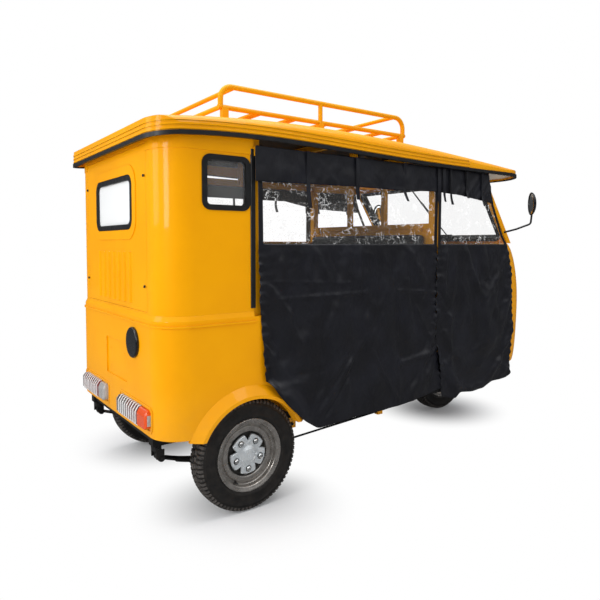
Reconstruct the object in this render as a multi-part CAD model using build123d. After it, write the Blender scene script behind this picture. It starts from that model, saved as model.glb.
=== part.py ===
from build123d import *
import math
import os

# Auto rickshaw, millimetres. X forward, Y to the left, Z up from the ground.
# Stations along X are measured from the rear axle while modelling. The finished
# pieces are moved so that the origin lies on the ground under the middle of the length.

# Wheels
WHEELBASE = 1990
TYRE_RADIUS = 258
TYRE_WIDTH = 108
RIM_RADIUS = 166
RIM_WIDTH = 104
TRACK_HALF = 550
SPINDLE_RADIUS = 17
RUNNING = 0.05
HUB_COVER_RADIUS = 94
NUT_COUNT = 5
NUT_CIRCLE = 132
LOBE_DEPTH = 26

# Stations of the partition and the nose
PARTITION_X = 1266
NOSE_REAR = WHEELBASE - 45
NOSE_FRONT = WHEELBASE + 310
NOSE_TOP = 1225

# Body
UPPER_HALF = 600
BODY_REAR = -411
BODY_CORNER = 140
BODY_BOTTOM = 388
BELT_STEP = 8
BELT_LOW = 893
BELT_TOP = 915
ROOF_CLEAR = 1850
WALL = 16
CABIN_FRONT = 22
RETURN = 14
TUB_FRONT = 345
TUB_TOE = 446
SEAM = 1.5
BAND_LOW = 1616
BAND_PROUD = 3

# Rear panel and windows
PANEL_HALF = 431
PANEL_TOP = 1648
PANEL_BOTTOM = 923
FLUTE_COUNT = 7
FLUTE_PITCH = 75
FLUTE_RADIUS = 14
FLUTE_LOW = 950
FLUTE_HIGH = 1183
GASKET = 24
GASKET_LIP = 5
GASKET_BITE = 10
GLASS = 5
PLATE_WIDTH = 300
PLATE_LOW = 570
PLATE_HIGH = 754
PLATE_Y = -35
PLATE_DEPTH = 6
PLATE_HOLES = 200
PLATE_HOLE_Z = 700
PLATE_HOLE_RADIUS = 3

# Wheel arches
ARCH_OPENING = 267
FLARE_RADIUS = 323
FLARE_REACH = 37
FLARE_CREST = 283
HOUSING_RADIUS = 300
HOUSING_WALL = 12
HOUSING_DEPTH = 168
FLARE_BOTTOM = 376

# Chassis and floor
RAIL_Y = 430
RAIL_WIDTH = 50
RAIL_HEIGHT = 50
SILL_WIDTH = 40
FLOOR = 6
MAT = 3
MAT_X = (330, 840)
MAT_HALF = 540
SIDE_HALF = 605
FRAME_TUBE = 40

# Roof
ROOF_HALF = 640
ROOF_REAR = -455
ROOF_FRONT = WHEELBASE + 155
ROOF_REAR_CORNER = 120
ROOF_FRONT_CORNER = 250
ROOF_SKIN = 12
LOFT_SPARE = 1
TRIM = 6
BEAD_HEIGHTS = [16, 34, 52]
BEAD_WIDTH = 9
BEAD_PROUD = 3
BEAD_REACH = 50
BEAD_FRONT = 1500

# Curtains
CURTAIN_Y = 612
CLOTH = 4
FILM = 3
CURTAIN_REAR = 40
CURTAIN_SPLIT = PARTITION_X - 26
CURTAIN_SEAM = 10
CURTAIN_FOOT = 366
FILM_LOW = 1219
FILM_HIGH = 1530
VALANCE_LOW = 1505

# Pillars and screen
PILLAR_Y = 570
SCREEN_SETBACK = 40
SCREEN_FOOT = NOSE_REAR + SCREEN_SETBACK
SCREEN_FOOT_Z = NOSE_TOP + 2
SCREEN_HEAD_Z = 1640
SCREEN_SLOPE = 0.676
HEADER_LOW = 1612

# Nose
NOSE_SKIN = 8
LAMP_Y = 225
LAMP_Z = 822
LAMP_RADIUS = 82
LAMP_PROUD = 10
INDICATOR_Z = 1010
INDICATOR_RADIUS = 30

# Steering
RAKE = 18
FORK_LEG_Y = 94
CROWN_AT = 400
HEAD_LOW = 432
HEAD_HIGH = 600
BAR_AT = 1030
BAR_HALF = 400
STEM_RADIUS = 17
MUDGUARD_RADIUS = 282
MUDGUARD_WIDTH = 130

# Seats
CUSHION_TOP = 790
CUSHION = 90
SEAT_GAP = 0.3

# Roof rack
RACK_HALF = 450
RACK_REAR = -61
RACK_FRONT = 1126
RACK_HIGH = 1944
RACK_LOW = 1846
RACK_TUBE = 12.5
RACK_CROSS_TUBE = 11.5
RACK_BEND = 60
RACK_INSET = 72

# Lamps and cap
TAIL_INNER = 93
TAIL_OUTER = 481
TAIL_Z = 463
TAIL_HEIGHT = 90
TAIL_PROUD = 30
TAIL_END = 24
RIB_COUNT = 9
RIB_PITCH = 28
RIB_WIDTH = 7
RIB_PROUD = 3
RIB_FROM = 44
LAMP_PAD = 13
LAMP_PAD_PROUD = 3
CAP_Y = -278
CAP_Z = 774
CAP_RADIUS = 70
CAP_PROUD = 14

AXLE_Z = TYRE_RADIUS
TUB_HALF = UPPER_HALF + BELT_STEP
TUB_REAR = BODY_REAR - BELT_STEP
FRONT_END = NOSE_FRONT + LAMP_PROUD
MID_LENGTH = (ROOF_REAR - TRIM + FRONT_END) / 2
SCREEN_HEAD = SCREEN_FOOT - SCREEN_SLOPE * (SCREEN_HEAD_Z - SCREEN_FOOT_Z)
WHEEL_CENTRE = (WHEELBASE, 0, AXLE_Z)
SIDES = {"right": -1, "left": 1}


def block(x, y, z):
    """Box between two stations on each axis."""
    size = [high - low for low, high in (x, y, z)]
    middle = [(high + low) / 2 for low, high in (x, y, z)]
    return Pos(*middle) * Box(*size)


def pair(x, y, z):
    """Two boxes mirrored about the middle plane."""
    left = block(x, y, z)
    return left + mirror(left, about=Plane.XZ)


def rod(start, end, radius):
    """Round bar between two points."""
    axis = Vector(*end) - Vector(*start)
    grounded = (Align.CENTER, Align.CENTER, Align.MIN)
    return Plane(origin=start, z_dir=axis) * Cylinder(radius, axis.length, align=grounded)


def bent_tube(points, bend, radius):
    """Round bar along straight runs joined by arcs."""
    path = FilletPolyline(*points, radius=bend)
    section = Plane(origin=path @ 0, z_dir=path % 0) * Circle(radius)
    return sweep(section, path=path)


def side_view(sketch, y):
    """Extrude a sketch of X and Z between two values of Y."""
    low, high = y
    plane = Plane((0, high, 0), x_dir=(1, 0, 0), z_dir=(0, -1, 0))
    return extrude(plane * sketch, amount=high - low)


def end_view(sketch, x):
    """Extrude a sketch of Y and Z between two values of X."""
    low, high = x
    return extrude(Plane((low, 0, 0), x_dir=(0, 1, 0), z_dir=(1, 0, 0)) * sketch, amount=high - low)


def plan_view(sketch, z):
    """Extrude a sketch of X and Y between two heights."""
    low, high = z
    return extrude(Pos(0, 0, low) * sketch, amount=high - low)


def polygon(*points):
    return make_face(Polyline(*points, close=True))


def window(width, height, corner, centre):
    return Pos(*centre) * RectangleRounded(width, height, corner)


def turned(points, centre, outward=1):
    """Revolve a profile of radius and outward distance about a wheel's axle."""
    solid = revolve(polygon(*[(r, outward * v) for r, v in points]), axis=Axis.Y)
    return Pos(*centre) * solid


def disc(radius, outward, v, centre):
    """Disc about a wheel's axle, between two outward distances."""
    low, high = v
    return turned([(0, low), (radius, low), (radius, high), (0, high)], centre, outward)


def write(node, shape):
    """Move a piece to the part's own origin and write it."""
    export_step(Pos(-MID_LENGTH, 0, 0) * shape, f"parts/{node}.step")


def body_plan(rear, half, front, inset=0.0):
    """Plan of the rounded rear body, open to the front."""
    rear, half, corner = rear + inset, half - inset, BODY_CORNER - inset
    edge = Polyline((rear + corner, -half), (front, -half), (front, half), (rear + corner, half))
    left = ThreePointArc((rear + corner, half), bend_point(rear + corner, half - corner, corner, 135),
                         (rear, half - corner))
    back = Line((rear, half - corner), (rear, corner - half))
    right = ThreePointArc((rear, corner - half), bend_point(rear + corner, corner - half, corner, 225),
                          (rear + corner, -half))
    return make_face([edge, left, back, right])


def bend_point(x, y, radius, angle):
    """Point on a circle, the angle in degrees from X."""
    return (x + radius * math.cos(math.radians(angle)), y + radius * math.sin(math.radians(angle)))


# Lower body tub with wheel housings and flares
def rear_tub():
    plan = body_plan(TUB_REAR, TUB_HALF, TUB_FRONT)
    inner = body_plan(TUB_REAR, TUB_HALF, TUB_FRONT + 1, WALL)
    walls = plan_view(plan, (BODY_BOTTOM, BELT_LOW)) - plan_view(inner, (BODY_BOTTOM, BELT_LOW))
    ledge_high = Pos(0, 0, BELT_TOP) * body_plan(BODY_REAR, UPPER_HALF, CABIN_FRONT)
    ledge_low = Pos(0, 0, BELT_LOW) * body_plan(TUB_REAR, TUB_HALF, CABIN_FRONT)
    ledge = loft([ledge_low, ledge_high])
    ledge_inner = body_plan(BODY_REAR, UPPER_HALF, CABIN_FRONT + 1, WALL)
    walls += ledge - plan_view(ledge_inner, (BELT_LOW - 1, BELT_TOP + 1))
    slope = polygon((CABIN_FRONT + 40, BELT_TOP + 1), (CABIN_FRONT + 40, BELT_LOW - 30),
                    (TUB_FRONT, TUB_TOE), (TUB_FRONT + 1, BELT_TOP + 1))
    walls -= side_view(slope, (-TUB_HALF - 1, TUB_HALF + 1))
    front = polygon((CABIN_FRONT, BELT_TOP + 1), (CABIN_FRONT, BELT_LOW), (TUB_FRONT + 1, BELT_LOW),
                    (TUB_FRONT + 1, BELT_TOP + 1))
    walls -= side_view(front, (-TUB_HALF - 1, TUB_HALF + 1))
    bead = plan_view(body_plan(TUB_REAR, TUB_HALF, CABIN_FRONT + 10, -6), (866, 874))
    walls += bead - plan_view(inner, (860, 880))
    for side in SIDES.values():
        centre = (0, side * TUB_HALF, AXLE_Z)
        wall_in, depth = -WALL, -HOUSING_DEPTH
        housing = turned([(HOUSING_RADIUS, wall_in), (HOUSING_RADIUS + HOUSING_WALL, wall_in),
                          (HOUSING_RADIUS + HOUSING_WALL, depth - HOUSING_WALL), (0, depth - HOUSING_WALL),
                          (0, depth), (HOUSING_RADIUS, depth)], centre, side)
        flare = turned([(FLARE_RADIUS, -WALL), (FLARE_RADIUS, 0), (FLARE_CREST, FLARE_REACH),
                        (ARCH_OPENING, FLARE_REACH), (ARCH_OPENING, -WALL)], centre, side)
        walls -= disc(FLARE_RADIUS - 1, side, (-WALL - 1, 1), centre)
        floor_cut = block((-400, 400), (-700, 700), (-200, BODY_BOTTOM))
        walls += housing - floor_cut
        walls += flare - block((-400, 400), (-700, 700), (-200, FLARE_BOTTOM))
    half = PLATE_WIDTH / 2
    recess = block((TUB_REAR - 1, TUB_REAR + PLATE_DEPTH), (PLATE_Y - half, PLATE_Y + half), (PLATE_LOW, PLATE_HIGH))
    walls -= recess
    walls += lamp_pads()
    for y in (PLATE_Y - PLATE_HOLES / 2, PLATE_Y + PLATE_HOLES / 2):
        walls -= rod((TUB_REAR - 1, y, PLATE_HOLE_Z), (TUB_REAR + WALL + 1, y, PLATE_HOLE_Z), PLATE_HOLE_RADIUS)
    return walls


def lamp_pads():
    """Raised panels pressed round the tail lamps."""
    pads = Part()
    for side in SIDES.values():
        centre = (side * (TAIL_INNER + TAIL_OUTER) / 2, TAIL_Z)
        width = TAIL_OUTER - TAIL_INNER
        pad = window(width + 2 * LAMP_PAD, TAIL_HEIGHT + 2 * LAMP_PAD, 2 * LAMP_PAD, centre)
        pad -= window(width + 2, TAIL_HEIGHT + 2, 4, centre)
        pads += end_view(pad, (TUB_REAR - LAMP_PAD_PROUD, TUB_REAR + WALL / 2))
    return pads


# Window sizes: width and height over the gasket, corner radius, centre in its own view
REAR_WINDOW = (528, 249, 52, (0, 1410.5))
QUARTER_WINDOW = (237, 238, 40, (-113.5, 1483))


def cut_size(spec, inset):
    width, height, corner, centre = spec
    return window(width - 2 * inset, height - 2 * inset, max(corner - inset, 4), centre)


def glazing(spec, view, face, inward, thickness=WALL):
    """Gasket and glass about a wall, whose outer face and inward direction are given."""
    inner_face = face + inward * thickness
    outer = sorted((face - inward * GASKET_LIP, inner_face + inward * GASKET_LIP))
    middle = (face + inner_face) / 2
    pane = sorted((middle - GLASS / 2, middle + GLASS / 2))
    wall = sorted((face, inner_face))
    gasket = view(cut_size(spec, 0), outer) - view(cut_size(spec, GASKET), outer)
    gasket -= view(cut_size(spec, -5), wall) - view(cut_size(spec, GASKET_BITE), wall)
    glass = view(cut_size(spec, GASKET - 6), pane)
    return gasket - glass, glass


def rear_cabin():
    plan = body_plan(BODY_REAR, UPPER_HALF, CABIN_FRONT)
    inner = body_plan(BODY_REAR, UPPER_HALF, CABIN_FRONT + 1, WALL)
    shell = plan_view(plan, (BELT_TOP, ROOF_CLEAR)) - plan_view(inner, (BELT_TOP, ROOF_CLEAR))
    opening = PANEL_HALF
    shell -= block((BODY_REAR - 1, BODY_REAR + WALL + 1), (-opening, opening), (PANEL_BOTTOM, PANEL_TOP))
    for side in SIDES.values():
        wall = sorted((side * UPPER_HALF, side * (UPPER_HALF - WALL)))
        shell -= side_view(cut_size(QUARTER_WINDOW, GASKET_BITE), wall)
        shell += block((CABIN_FRONT - RETURN, CABIN_FRONT), sorted((side * UPPER_HALF, side * 560)),
                       (BELT_TOP, HEADER_LOW))
    band = plan_view(body_plan(BODY_REAR, UPPER_HALF, CABIN_FRONT, -BAND_PROUD), (BAND_LOW, ROOF_CLEAR))
    band -= plan_view(body_plan(BODY_REAR, UPPER_HALF, CABIN_FRONT + 1, 1), (BAND_LOW - 1, ROOF_CLEAR + 1))
    shell += band - block((BODY_REAR - 10, BODY_REAR + 10), (-opening, opening), (BAND_LOW - 1, PANEL_TOP))
    return shell & roof_solid(ROOF_SKIN, BELT_TOP - 20)


def rear_panel():
    half, low, high = PANEL_HALF - SEAM, PANEL_BOTTOM + SEAM, PANEL_TOP - SEAM
    panel = block((BODY_REAR, BODY_REAR + WALL), (-half, half), (low, high))
    panel += block((BODY_REAR + 4, BODY_REAR + WALL), (-PANEL_HALF, PANEL_HALF), (PANEL_BOTTOM, PANEL_TOP))
    panel -= end_view(cut_size(REAR_WINDOW, GASKET_BITE), (BODY_REAR, BODY_REAR + WALL))
    raised = end_view(cut_size(REAR_WINDOW, -46), (BODY_REAR - 4, BODY_REAR))
    panel += raised - end_view(cut_size(REAR_WINDOW, -2), (BODY_REAR - 4, BODY_REAR))
    for index in range(FLUTE_COUNT):
        y = (index - (FLUTE_COUNT - 1) / 2) * FLUTE_PITCH
        flute = rod((BODY_REAR + 6, y, FLUTE_LOW), (BODY_REAR + 6, y, FLUTE_HIGH), FLUTE_RADIUS)
        inside = block((BODY_REAR + 1, BODY_REAR + 3 * FLUTE_RADIUS), (-PANEL_HALF, PANEL_HALF), (PANEL_BOTTOM, PANEL_TOP))
        panel += flute - inside
    return panel


# Roof sections: station, edge height, crown height, shoulder radius
ROOF_STATIONS = [
    (ROOF_REAR - 30, 1650, 1726, 44),
    (300, 1684, 1782, 50),
    (1060, 1664, 1766, 50),
    (ROOF_FRONT - 525, 1660, 1728, 36),
    (ROOF_FRONT + 30, 1658, 1678, 8),
]


def roof_plan(inset):
    width, length = 2 * (ROOF_HALF - inset), ROOF_FRONT - ROOF_REAR - 2 * inset
    outline = Pos((ROOF_FRONT + ROOF_REAR) / 2, 0) * Rectangle(length, width)
    outline = fillet(outline.vertices().group_by(Axis.X)[0], ROOF_REAR_CORNER - inset)
    return fillet(outline.vertices().group_by(Axis.X)[-1], ROOF_FRONT_CORNER - inset)


def roof_section(station, low, high, radius, half):
    """Cross section of the roof with rounded shoulders."""
    sketch = Pos(0, (low + high) / 2) * Rectangle(2 * half, high - low)
    if radius:
        sketch = fillet(sketch.vertices().group_by(Axis.Y)[-1], radius)
    return Plane((station, 0, 0), x_dir=(0, 1, 0), z_dir=(1, 0, 0)) * sketch


def roof_solid(inset, foot=None):
    """Roof block within its plan, the crown and sides drawn inward by an inset."""
    sections = []
    for station, low, high, radius in ROOF_STATIONS:
        edge = low if foot is None else foot
        half = ROOF_HALF - inset + LOFT_SPARE
        sections.append(roof_section(station, edge, high - inset, max(radius - inset, 4), half))
    return loft(sections) & plan_view(roof_plan(inset), (800, 1850))


def roof_band(above, height, reach):
    """Level slice of the roof's sides that follows its lower edge."""
    sections = []
    for station, low, high, radius in ROOF_STATIONS:
        sections.append(roof_section(station, low + above, low + above + height, 0, ROOF_HALF + reach + LOFT_SPARE))
    return loft(sections)


def roof_shell():
    """Roof skin with pressed beads round its shoulder."""
    outer = roof_solid(0)
    proud = roof_solid(-BEAD_PROUD) - plan_view(roof_plan(BEAD_REACH), (1500, ROOF_CLEAR))
    proud &= block((ROOF_REAR - TRIM, BEAD_FRONT), (-ROOF_HALF - TRIM, ROOF_HALF + TRIM), (1500, ROOF_CLEAR))
    for above in BEAD_HEIGHTS:
        outer += proud & roof_band(above, BEAD_WIDTH, BEAD_PROUD)
    return outer - roof_solid(ROOF_SKIN, 1600)


def roof_edge_trim():
    """Rubber strip over the roof's lower edge."""
    sections = []
    for station, low, high, radius in ROOF_STATIONS:
        sections.append(roof_section(station, low - TRIM, low + 2 * TRIM, 0, ROOF_HALF + TRIM + LOFT_SPARE))
    band = loft(sections) & plan_view(roof_plan(-TRIM), (1500, ROOF_CLEAR))
    return band - plan_view(roof_plan(ROOF_SKIN), (1500, ROOF_CLEAR)) - roof_solid(0)


# Rack: side hoops, cross rails, slats and feet
RACK_SLATS = [150, 360, 560, 760, 960]
RACK_FEET = [RACK_REAR + 20, 520, RACK_FRONT - 20]


def roof_rack():
    rack = Part()
    for side in SIDES.values():
        y = side * RACK_HALF
        corners = [(RACK_REAR, y, RACK_LOW), (RACK_REAR, y, RACK_HIGH), (RACK_FRONT, y, RACK_HIGH),
                   (RACK_FRONT, y, RACK_LOW)]
        rack += bent_tube(corners, RACK_BEND, RACK_TUBE)
        rack += rod((RACK_REAR - RACK_TUBE, y, RACK_LOW), (RACK_FRONT + RACK_TUBE, y, RACK_LOW), RACK_CROSS_TUBE)
        rack += rod((RACK_FEET[1], y, RACK_LOW), (RACK_FEET[1], y, RACK_HIGH), RACK_CROSS_TUBE)
        for station in RACK_FEET:
            foot = block((station - 16, station + 16), (y - 13, y + 13), (1700, RACK_LOW))
            rack += foot - roof_solid(0)
    for station, height in ((RACK_REAR + RACK_INSET, RACK_HIGH), (RACK_REAR, RACK_LOW),
                            (RACK_FRONT - RACK_INSET, RACK_HIGH), (RACK_FRONT, RACK_LOW)):
        rack += rod((station, -RACK_HALF, height), (station, RACK_HALF, height), RACK_CROSS_TUBE - 0.5)
    for station in RACK_SLATS:
        rack += block((station - 22, station + 22), (-RACK_HALF, RACK_HALF), (RACK_LOW - 5, RACK_LOW + 5))
    return rack


# Points on the steering axis, by distance up from the wheel's centre
STEER = (-math.sin(math.radians(RAKE)), 0, math.cos(math.radians(RAKE)))


def steer_point(distance, y=0):
    return (WHEELBASE + distance * STEER[0], y, AXLE_Z + distance * STEER[2])


# Chassis: ladder of rails, cross members, sills and the brackets of the springs
NECK_FOOT = WHEELBASE - 318
CROSS_MEMBERS = [-370, 190, 620, 940, PARTITION_X, NECK_FOOT]
OUTRIGGERS = [365, 800, PARTITION_X, NECK_FOOT, NOSE_REAR - FRAME_TUBE / 2]
SPRING_EYES = {"rear": (-365, 282), "front": (330, 305)}
SHACKLE_PIN = (-378, 322)
LEAF_WIDTH = 50
LEAF = 8
LEAF_LOW = 225
LEAF_COUNT = 5
EAR = 6
EAR_GAP = 0.3
PIN_RADIUS = 8
ROD_Y = -470
ROD_POINTS = [(92, 222), (930, 268), (1111, 296)]


def ear_pair(y, x, z):
    """Two bracket ears beside a spring eye."""
    inside = LEAF_WIDTH / 2 + EAR_GAP
    ears = block(x, (y + inside, y + inside + EAR), z)
    return ears + block(x, (y - inside - EAR, y - inside), z)


def chassis_frame():
    low = BODY_BOTTOM - RAIL_HEIGHT
    cross_low = BODY_BOTTOM - FRAME_TUBE
    rear = TUB_REAR + WALL
    frame = pair((rear, NOSE_REAR), (RAIL_Y - RAIL_WIDTH / 2, RAIL_Y + RAIL_WIDTH / 2), (low, BODY_BOTTOM))
    for x in CROSS_MEMBERS:
        frame += block((x - 20, x + 20), (-RAIL_Y, RAIL_Y), (cross_low, BODY_BOTTOM))
    for x in OUTRIGGERS:
        frame += pair((x - 20, x + 20), (RAIL_Y, SIDE_HALF), (cross_low, BODY_BOTTOM))
    frame += pair((TUB_FRONT, NOSE_REAR), (SIDE_HALF - SILL_WIDTH, SIDE_HALF), (cross_low, BODY_BOTTOM))
    for side in SIDES.values():
        y = side * RAIL_Y
        eye_x, eye_z = SPRING_EYES["front"]
        wide = LEAF_WIDTH / 2 + EAR_GAP + EAR
        ears = ear_pair(y, (eye_x - 24, eye_x + 24), (eye_z - 22, low))
        ears += block((eye_x - 24, eye_x + 24), (y - wide, y + wide), (low - EAR, low))
        pin_x, pin_z = SHACKLE_PIN
        ears += block((pin_x - 14, pin_x + 14), (y - LEAF_WIDTH / 2, y + LEAF_WIDTH / 2), (pin_z - 12, low))
        for x, z in ((eye_x, eye_z), (pin_x, pin_z)):
            ears -= rod((x, y - 40, z), (x, y + 40, z), PIN_RADIUS + EAR_GAP)
        frame += ears
    for x, z in ROD_POINTS[1:]:
        lug = block((x - 18, x + 18), (ROD_Y - 14, ROD_Y + 15), (z - 16, cross_low + 10))
        frame += lug - rod((x - 30, ROD_Y, z), (x + 30, ROD_Y, z), 7 + EAR_GAP)
    return frame + head_tube()


def neck_beam():
    """Leaning beam from the front cross member up to the steering head."""
    foot, low = NECK_FOOT, BODY_BOTTOM - FRAME_TUBE / 2
    neck = polygon((foot - 20, low), (foot + 14, low), (foot + 150, ARCH_TOP), (foot + 128, ARCH_TOP + 118),
                   (foot + 93, ARCH_TOP + 88))
    return side_view(neck, (-NECK_HALF, NECK_HALF))


def head_tube():
    """Neck beam and steering head ahead of the front cross member."""
    neck = neck_beam()
    tube = rod(steer_point(HEAD_LOW), steer_point(HEAD_HIGH), STEM_RADIUS + 11)
    bore = rod(steer_point(HEAD_LOW - 60), steer_point(HEAD_HIGH + 60), STEM_RADIUS + RUNNING)
    return neck + tube - bore


def floor_pan():
    plan = body_plan(TUB_REAR, TUB_HALF, TUB_FRONT, WALL)
    plan += Pos((TUB_FRONT + NOSE_REAR) / 2, 0) * Rectangle(NOSE_REAR - TUB_FRONT, 2 * SIDE_HALF)
    pan = plan_view(plan, (BODY_BOTTOM, BODY_BOTTOM + FLOOR))
    housing = TUB_HALF - HOUSING_DEPTH - HOUSING_WALL
    reach = HOUSING_RADIUS + HOUSING_WALL
    heights = (BODY_BOTTOM - 1, BODY_BOTTOM + FLOOR + 1)
    pan -= pair((-reach, reach), (housing, 700), heights)
    pan -= block((ARCH_FOOT, ARCH_FRONT), (-ARCH_HALF, ARCH_HALF), heights)
    pan -= block((NECK_FOOT - 21, ARCH_FOOT + 1), (-NECK_HALF - 1, NECK_HALF + 1), heights)
    mat = block(MAT_X, (-MAT_HALF, MAT_HALF), (FLOOR_TOP, FLOOR_TOP + MAT))
    return pan + mat


# Front wheel arch: rear wall along the neck, flat top, side walls
ARCH_FOOT = WHEELBASE - 290
ARCH_FRONT = WHEELBASE + 210
ARCH_RISE = 65
ARCH_HALF = 254
ARCH_TOP = 712
ARCH_SHEET = 4
NECK_HALF = 25


def front_wheel_arch():
    """Wheel housing under the cab; its rear wall stands clear of the turning fork crown."""
    knee = ARCH_FOOT + ARCH_RISE
    outer = polygon((ARCH_FOOT, BODY_BOTTOM), (knee, ARCH_TOP), (ARCH_FRONT, ARCH_TOP), (ARCH_FRONT, BODY_BOTTOM))
    t = ARCH_SHEET
    inner = polygon((ARCH_FOOT + t, BODY_BOTTOM - 1), (knee + t, ARCH_TOP - t), (ARCH_FRONT + 1, ARCH_TOP - t),
                    (ARCH_FRONT + 1, BODY_BOTTOM - 1))
    arch = side_view(outer, (-ARCH_HALF, ARCH_HALF)) - side_view(inner, (t - ARCH_HALF, ARCH_HALF - t))
    return arch - rod(steer_point(HEAD_LOW - 60), steer_point(HEAD_HIGH), STEM_RADIUS + 11.2) - neck_beam()


# Nose sections: height, distance behind the foremost point, half width, corner radius
NOSE_SECTIONS = [
    (430, 25, 564, 285),
    (646, 3, 577, 285),
    (874, 0, 580, 285),
    (1087, 28, 574, 285),
    (1180, 80, 568, 260),
    (NOSE_TOP, 180, 556, 160),
]


def nose_solid(inset, top_drop):
    """Nose block, drawn inward by an inset and down by a drop of its top."""
    sections = []
    for height, behind, half, corner in NOSE_SECTIONS:
        z = height - top_drop if height == NOSE_TOP else height
        front, half = NOSE_FRONT - behind - inset, half - inset
        length = front - NOSE_REAR
        face = Pos(NOSE_REAR + length / 2, 0) * Rectangle(length, 2 * half)
        face = fillet(face.vertices().group_by(Axis.X)[-1], corner - inset)
        sections.append(Pos(0, 0, z) * face)
    return loft(sections)


def nose_panel():
    nose = nose_solid(0, 0) - nose_solid(NOSE_SKIN, NOSE_SKIN)
    for side in SIDES.values():
        y = side * LAMP_Y
        nose -= rod((NOSE_FRONT - 70, y, LAMP_Z), (NOSE_FRONT + 30, y, LAMP_Z), LAMP_RADIUS)
        nose -= rod((NOSE_FRONT - 70, y, INDICATOR_Z), (NOSE_FRONT + 30, y, INDICATOR_Z), INDICATOR_RADIUS)
    return nose


def front_lamps():
    """Round headlamps with a raised bezel, and an indicator above each."""
    lamps = Part()
    for side in SIDES.values():
        y = side * LAMP_Y
        profile = [(0, -60), (LAMP_RADIUS, -60), (LAMP_RADIUS, LAMP_PROUD - 4), (LAMP_RADIUS - 4, LAMP_PROUD),
                   (LAMP_RADIUS - 10, LAMP_PROUD), (LAMP_RADIUS - 14, 0), (40, 6), (0, 8)]
        lamp = revolve(polygon(*profile), axis=Axis.Y)
        lamps += Pos(NOSE_FRONT, y, LAMP_Z) * Rot(0, 0, -90) * lamp
        lamps += rod((NOSE_FRONT - 50, y, INDICATOR_Z), (NOSE_FRONT + 4, y, INDICATOR_Z), INDICATOR_RADIUS)
    return lamps


# Pillars, headers and roof bows
BOWS = [CABIN_FRONT + 22, 640, CURTAIN_SPLIT, SCREEN_HEAD - 16]
BOW_DEPTH = 34
BOW_HALF = 590
POST_IN = PILLAR_Y - 20
POST_OUT = PILLAR_Y + 20
FLOOR_TOP = BODY_BOTTOM + FLOOR


def header_rails():
    """Rails over the doors, which carry the curtains and the bows."""
    out = CURTAIN_Y - EAR_GAP
    return pair((CABIN_FRONT, SCREEN_HEAD + 20), (out - FRAME_TUBE, out), (HEADER_LOW, HEADER_LOW + FRAME_TUBE))


def cab_posts():
    """Posts behind the doors, cut round the wheel housings."""
    posts = pair((CABIN_FRONT + 2, CABIN_FRONT + 42), (POST_IN, POST_OUT), (AXLE_Z + 200, HEADER_LOW + 10))
    return posts - rod((0, -700, AXLE_Z), (0, 700, AXLE_Z), HOUSING_RADIUS + HOUSING_WALL)


def cab_frame():
    frame = header_rails()
    frame += cab_posts()
    frame += pair((NOSE_REAR - 40, NOSE_REAR), (536, 576), (FLOOR_TOP, NOSE_TOP))
    frame += block((NOSE_REAR - 40, NOSE_REAR), (-576, 576), (NOSE_TOP - 40, NOSE_TOP))
    return frame


def roof_bows():
    """Arched bows between the header rails, under the roof's skin."""
    ceiling = roof_solid(ROOF_SKIN, HEADER_LOW - 12)
    bows = Part()
    for x in BOWS:
        slab = block((x - 15, x + 15), (-BOW_HALF, BOW_HALF), (HEADER_LOW + 10, ROOF_CLEAR)) & ceiling
        hollow = block((x - 16, x + 16), (30 - BOW_HALF, BOW_HALF - 30), (HEADER_LOW - 12, ROOF_CLEAR))
        bows += slab - (hollow & (Pos(0, 0, -BOW_DEPTH) * ceiling))
    return bows - header_rails() - cab_posts()


PARTITION_RAIL = 1310
PARTITION_BAR = 30
BAR_Y = 165


def partition_frame():
    half = PARTITION_BAR / 2
    x = (PARTITION_X - half, PARTITION_X + half)
    frame = pair((PARTITION_X - 20, PARTITION_X + 20), (POST_IN, POST_OUT), (FLOOR_TOP, HEADER_LOW))
    frame += block(x, (-POST_IN, POST_IN), (PARTITION_RAIL, PARTITION_RAIL + PARTITION_BAR))
    frame += block(x, (-POST_IN, POST_IN), (HEADER_LOW - 10, HEADER_LOW + 20))
    frame += pair(x, (BAR_Y - half, BAR_Y + half), (PARTITION_RAIL, HEADER_LOW))
    frame += block((PARTITION_X - 3, PARTITION_X + 3), (-POST_IN, POST_IN), (FLOOR_TOP, PARTITION_RAIL))
    return frame + partition_knobs() + guard_rail()


KNOB_PLACES = [-478, 11, 496]


def partition_knobs():
    knobs = Part()
    for y in KNOB_PLACES:
        star = [bend_point(y, PARTITION_RAIL + 2, 26 if k % 2 == 0 else 15, 90 + 36 * k) for k in range(10)]
        knobs += end_view(polygon(*star), (PARTITION_X - PARTITION_BAR / 2 - 12, PARTITION_X - PARTITION_BAR / 2))
    return knobs


# Seat boxes: X range and half width
SEAT_BOXES = [
    ((-395, 62), 424),
    ((PARTITION_X - 398, PARTITION_X - 3), POST_IN),
    ((PARTITION_X + 3, PARTITION_X + 334), POST_IN),
]
SEAT_SHEET = 8


def seat_boxes():
    boxes = Part()
    top = CUSHION_TOP - CUSHION
    for x, half in SEAT_BOXES:
        box = block(x, (-half, half), (FLOOR_TOP, top))
        boxes += box - block((x[0] + SEAT_SHEET, x[1] - SEAT_SHEET), (SEAT_SHEET - half, half - SEAT_SHEET),
                             (FLOOR_TOP, top - SEAT_SHEET))
    return boxes


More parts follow.
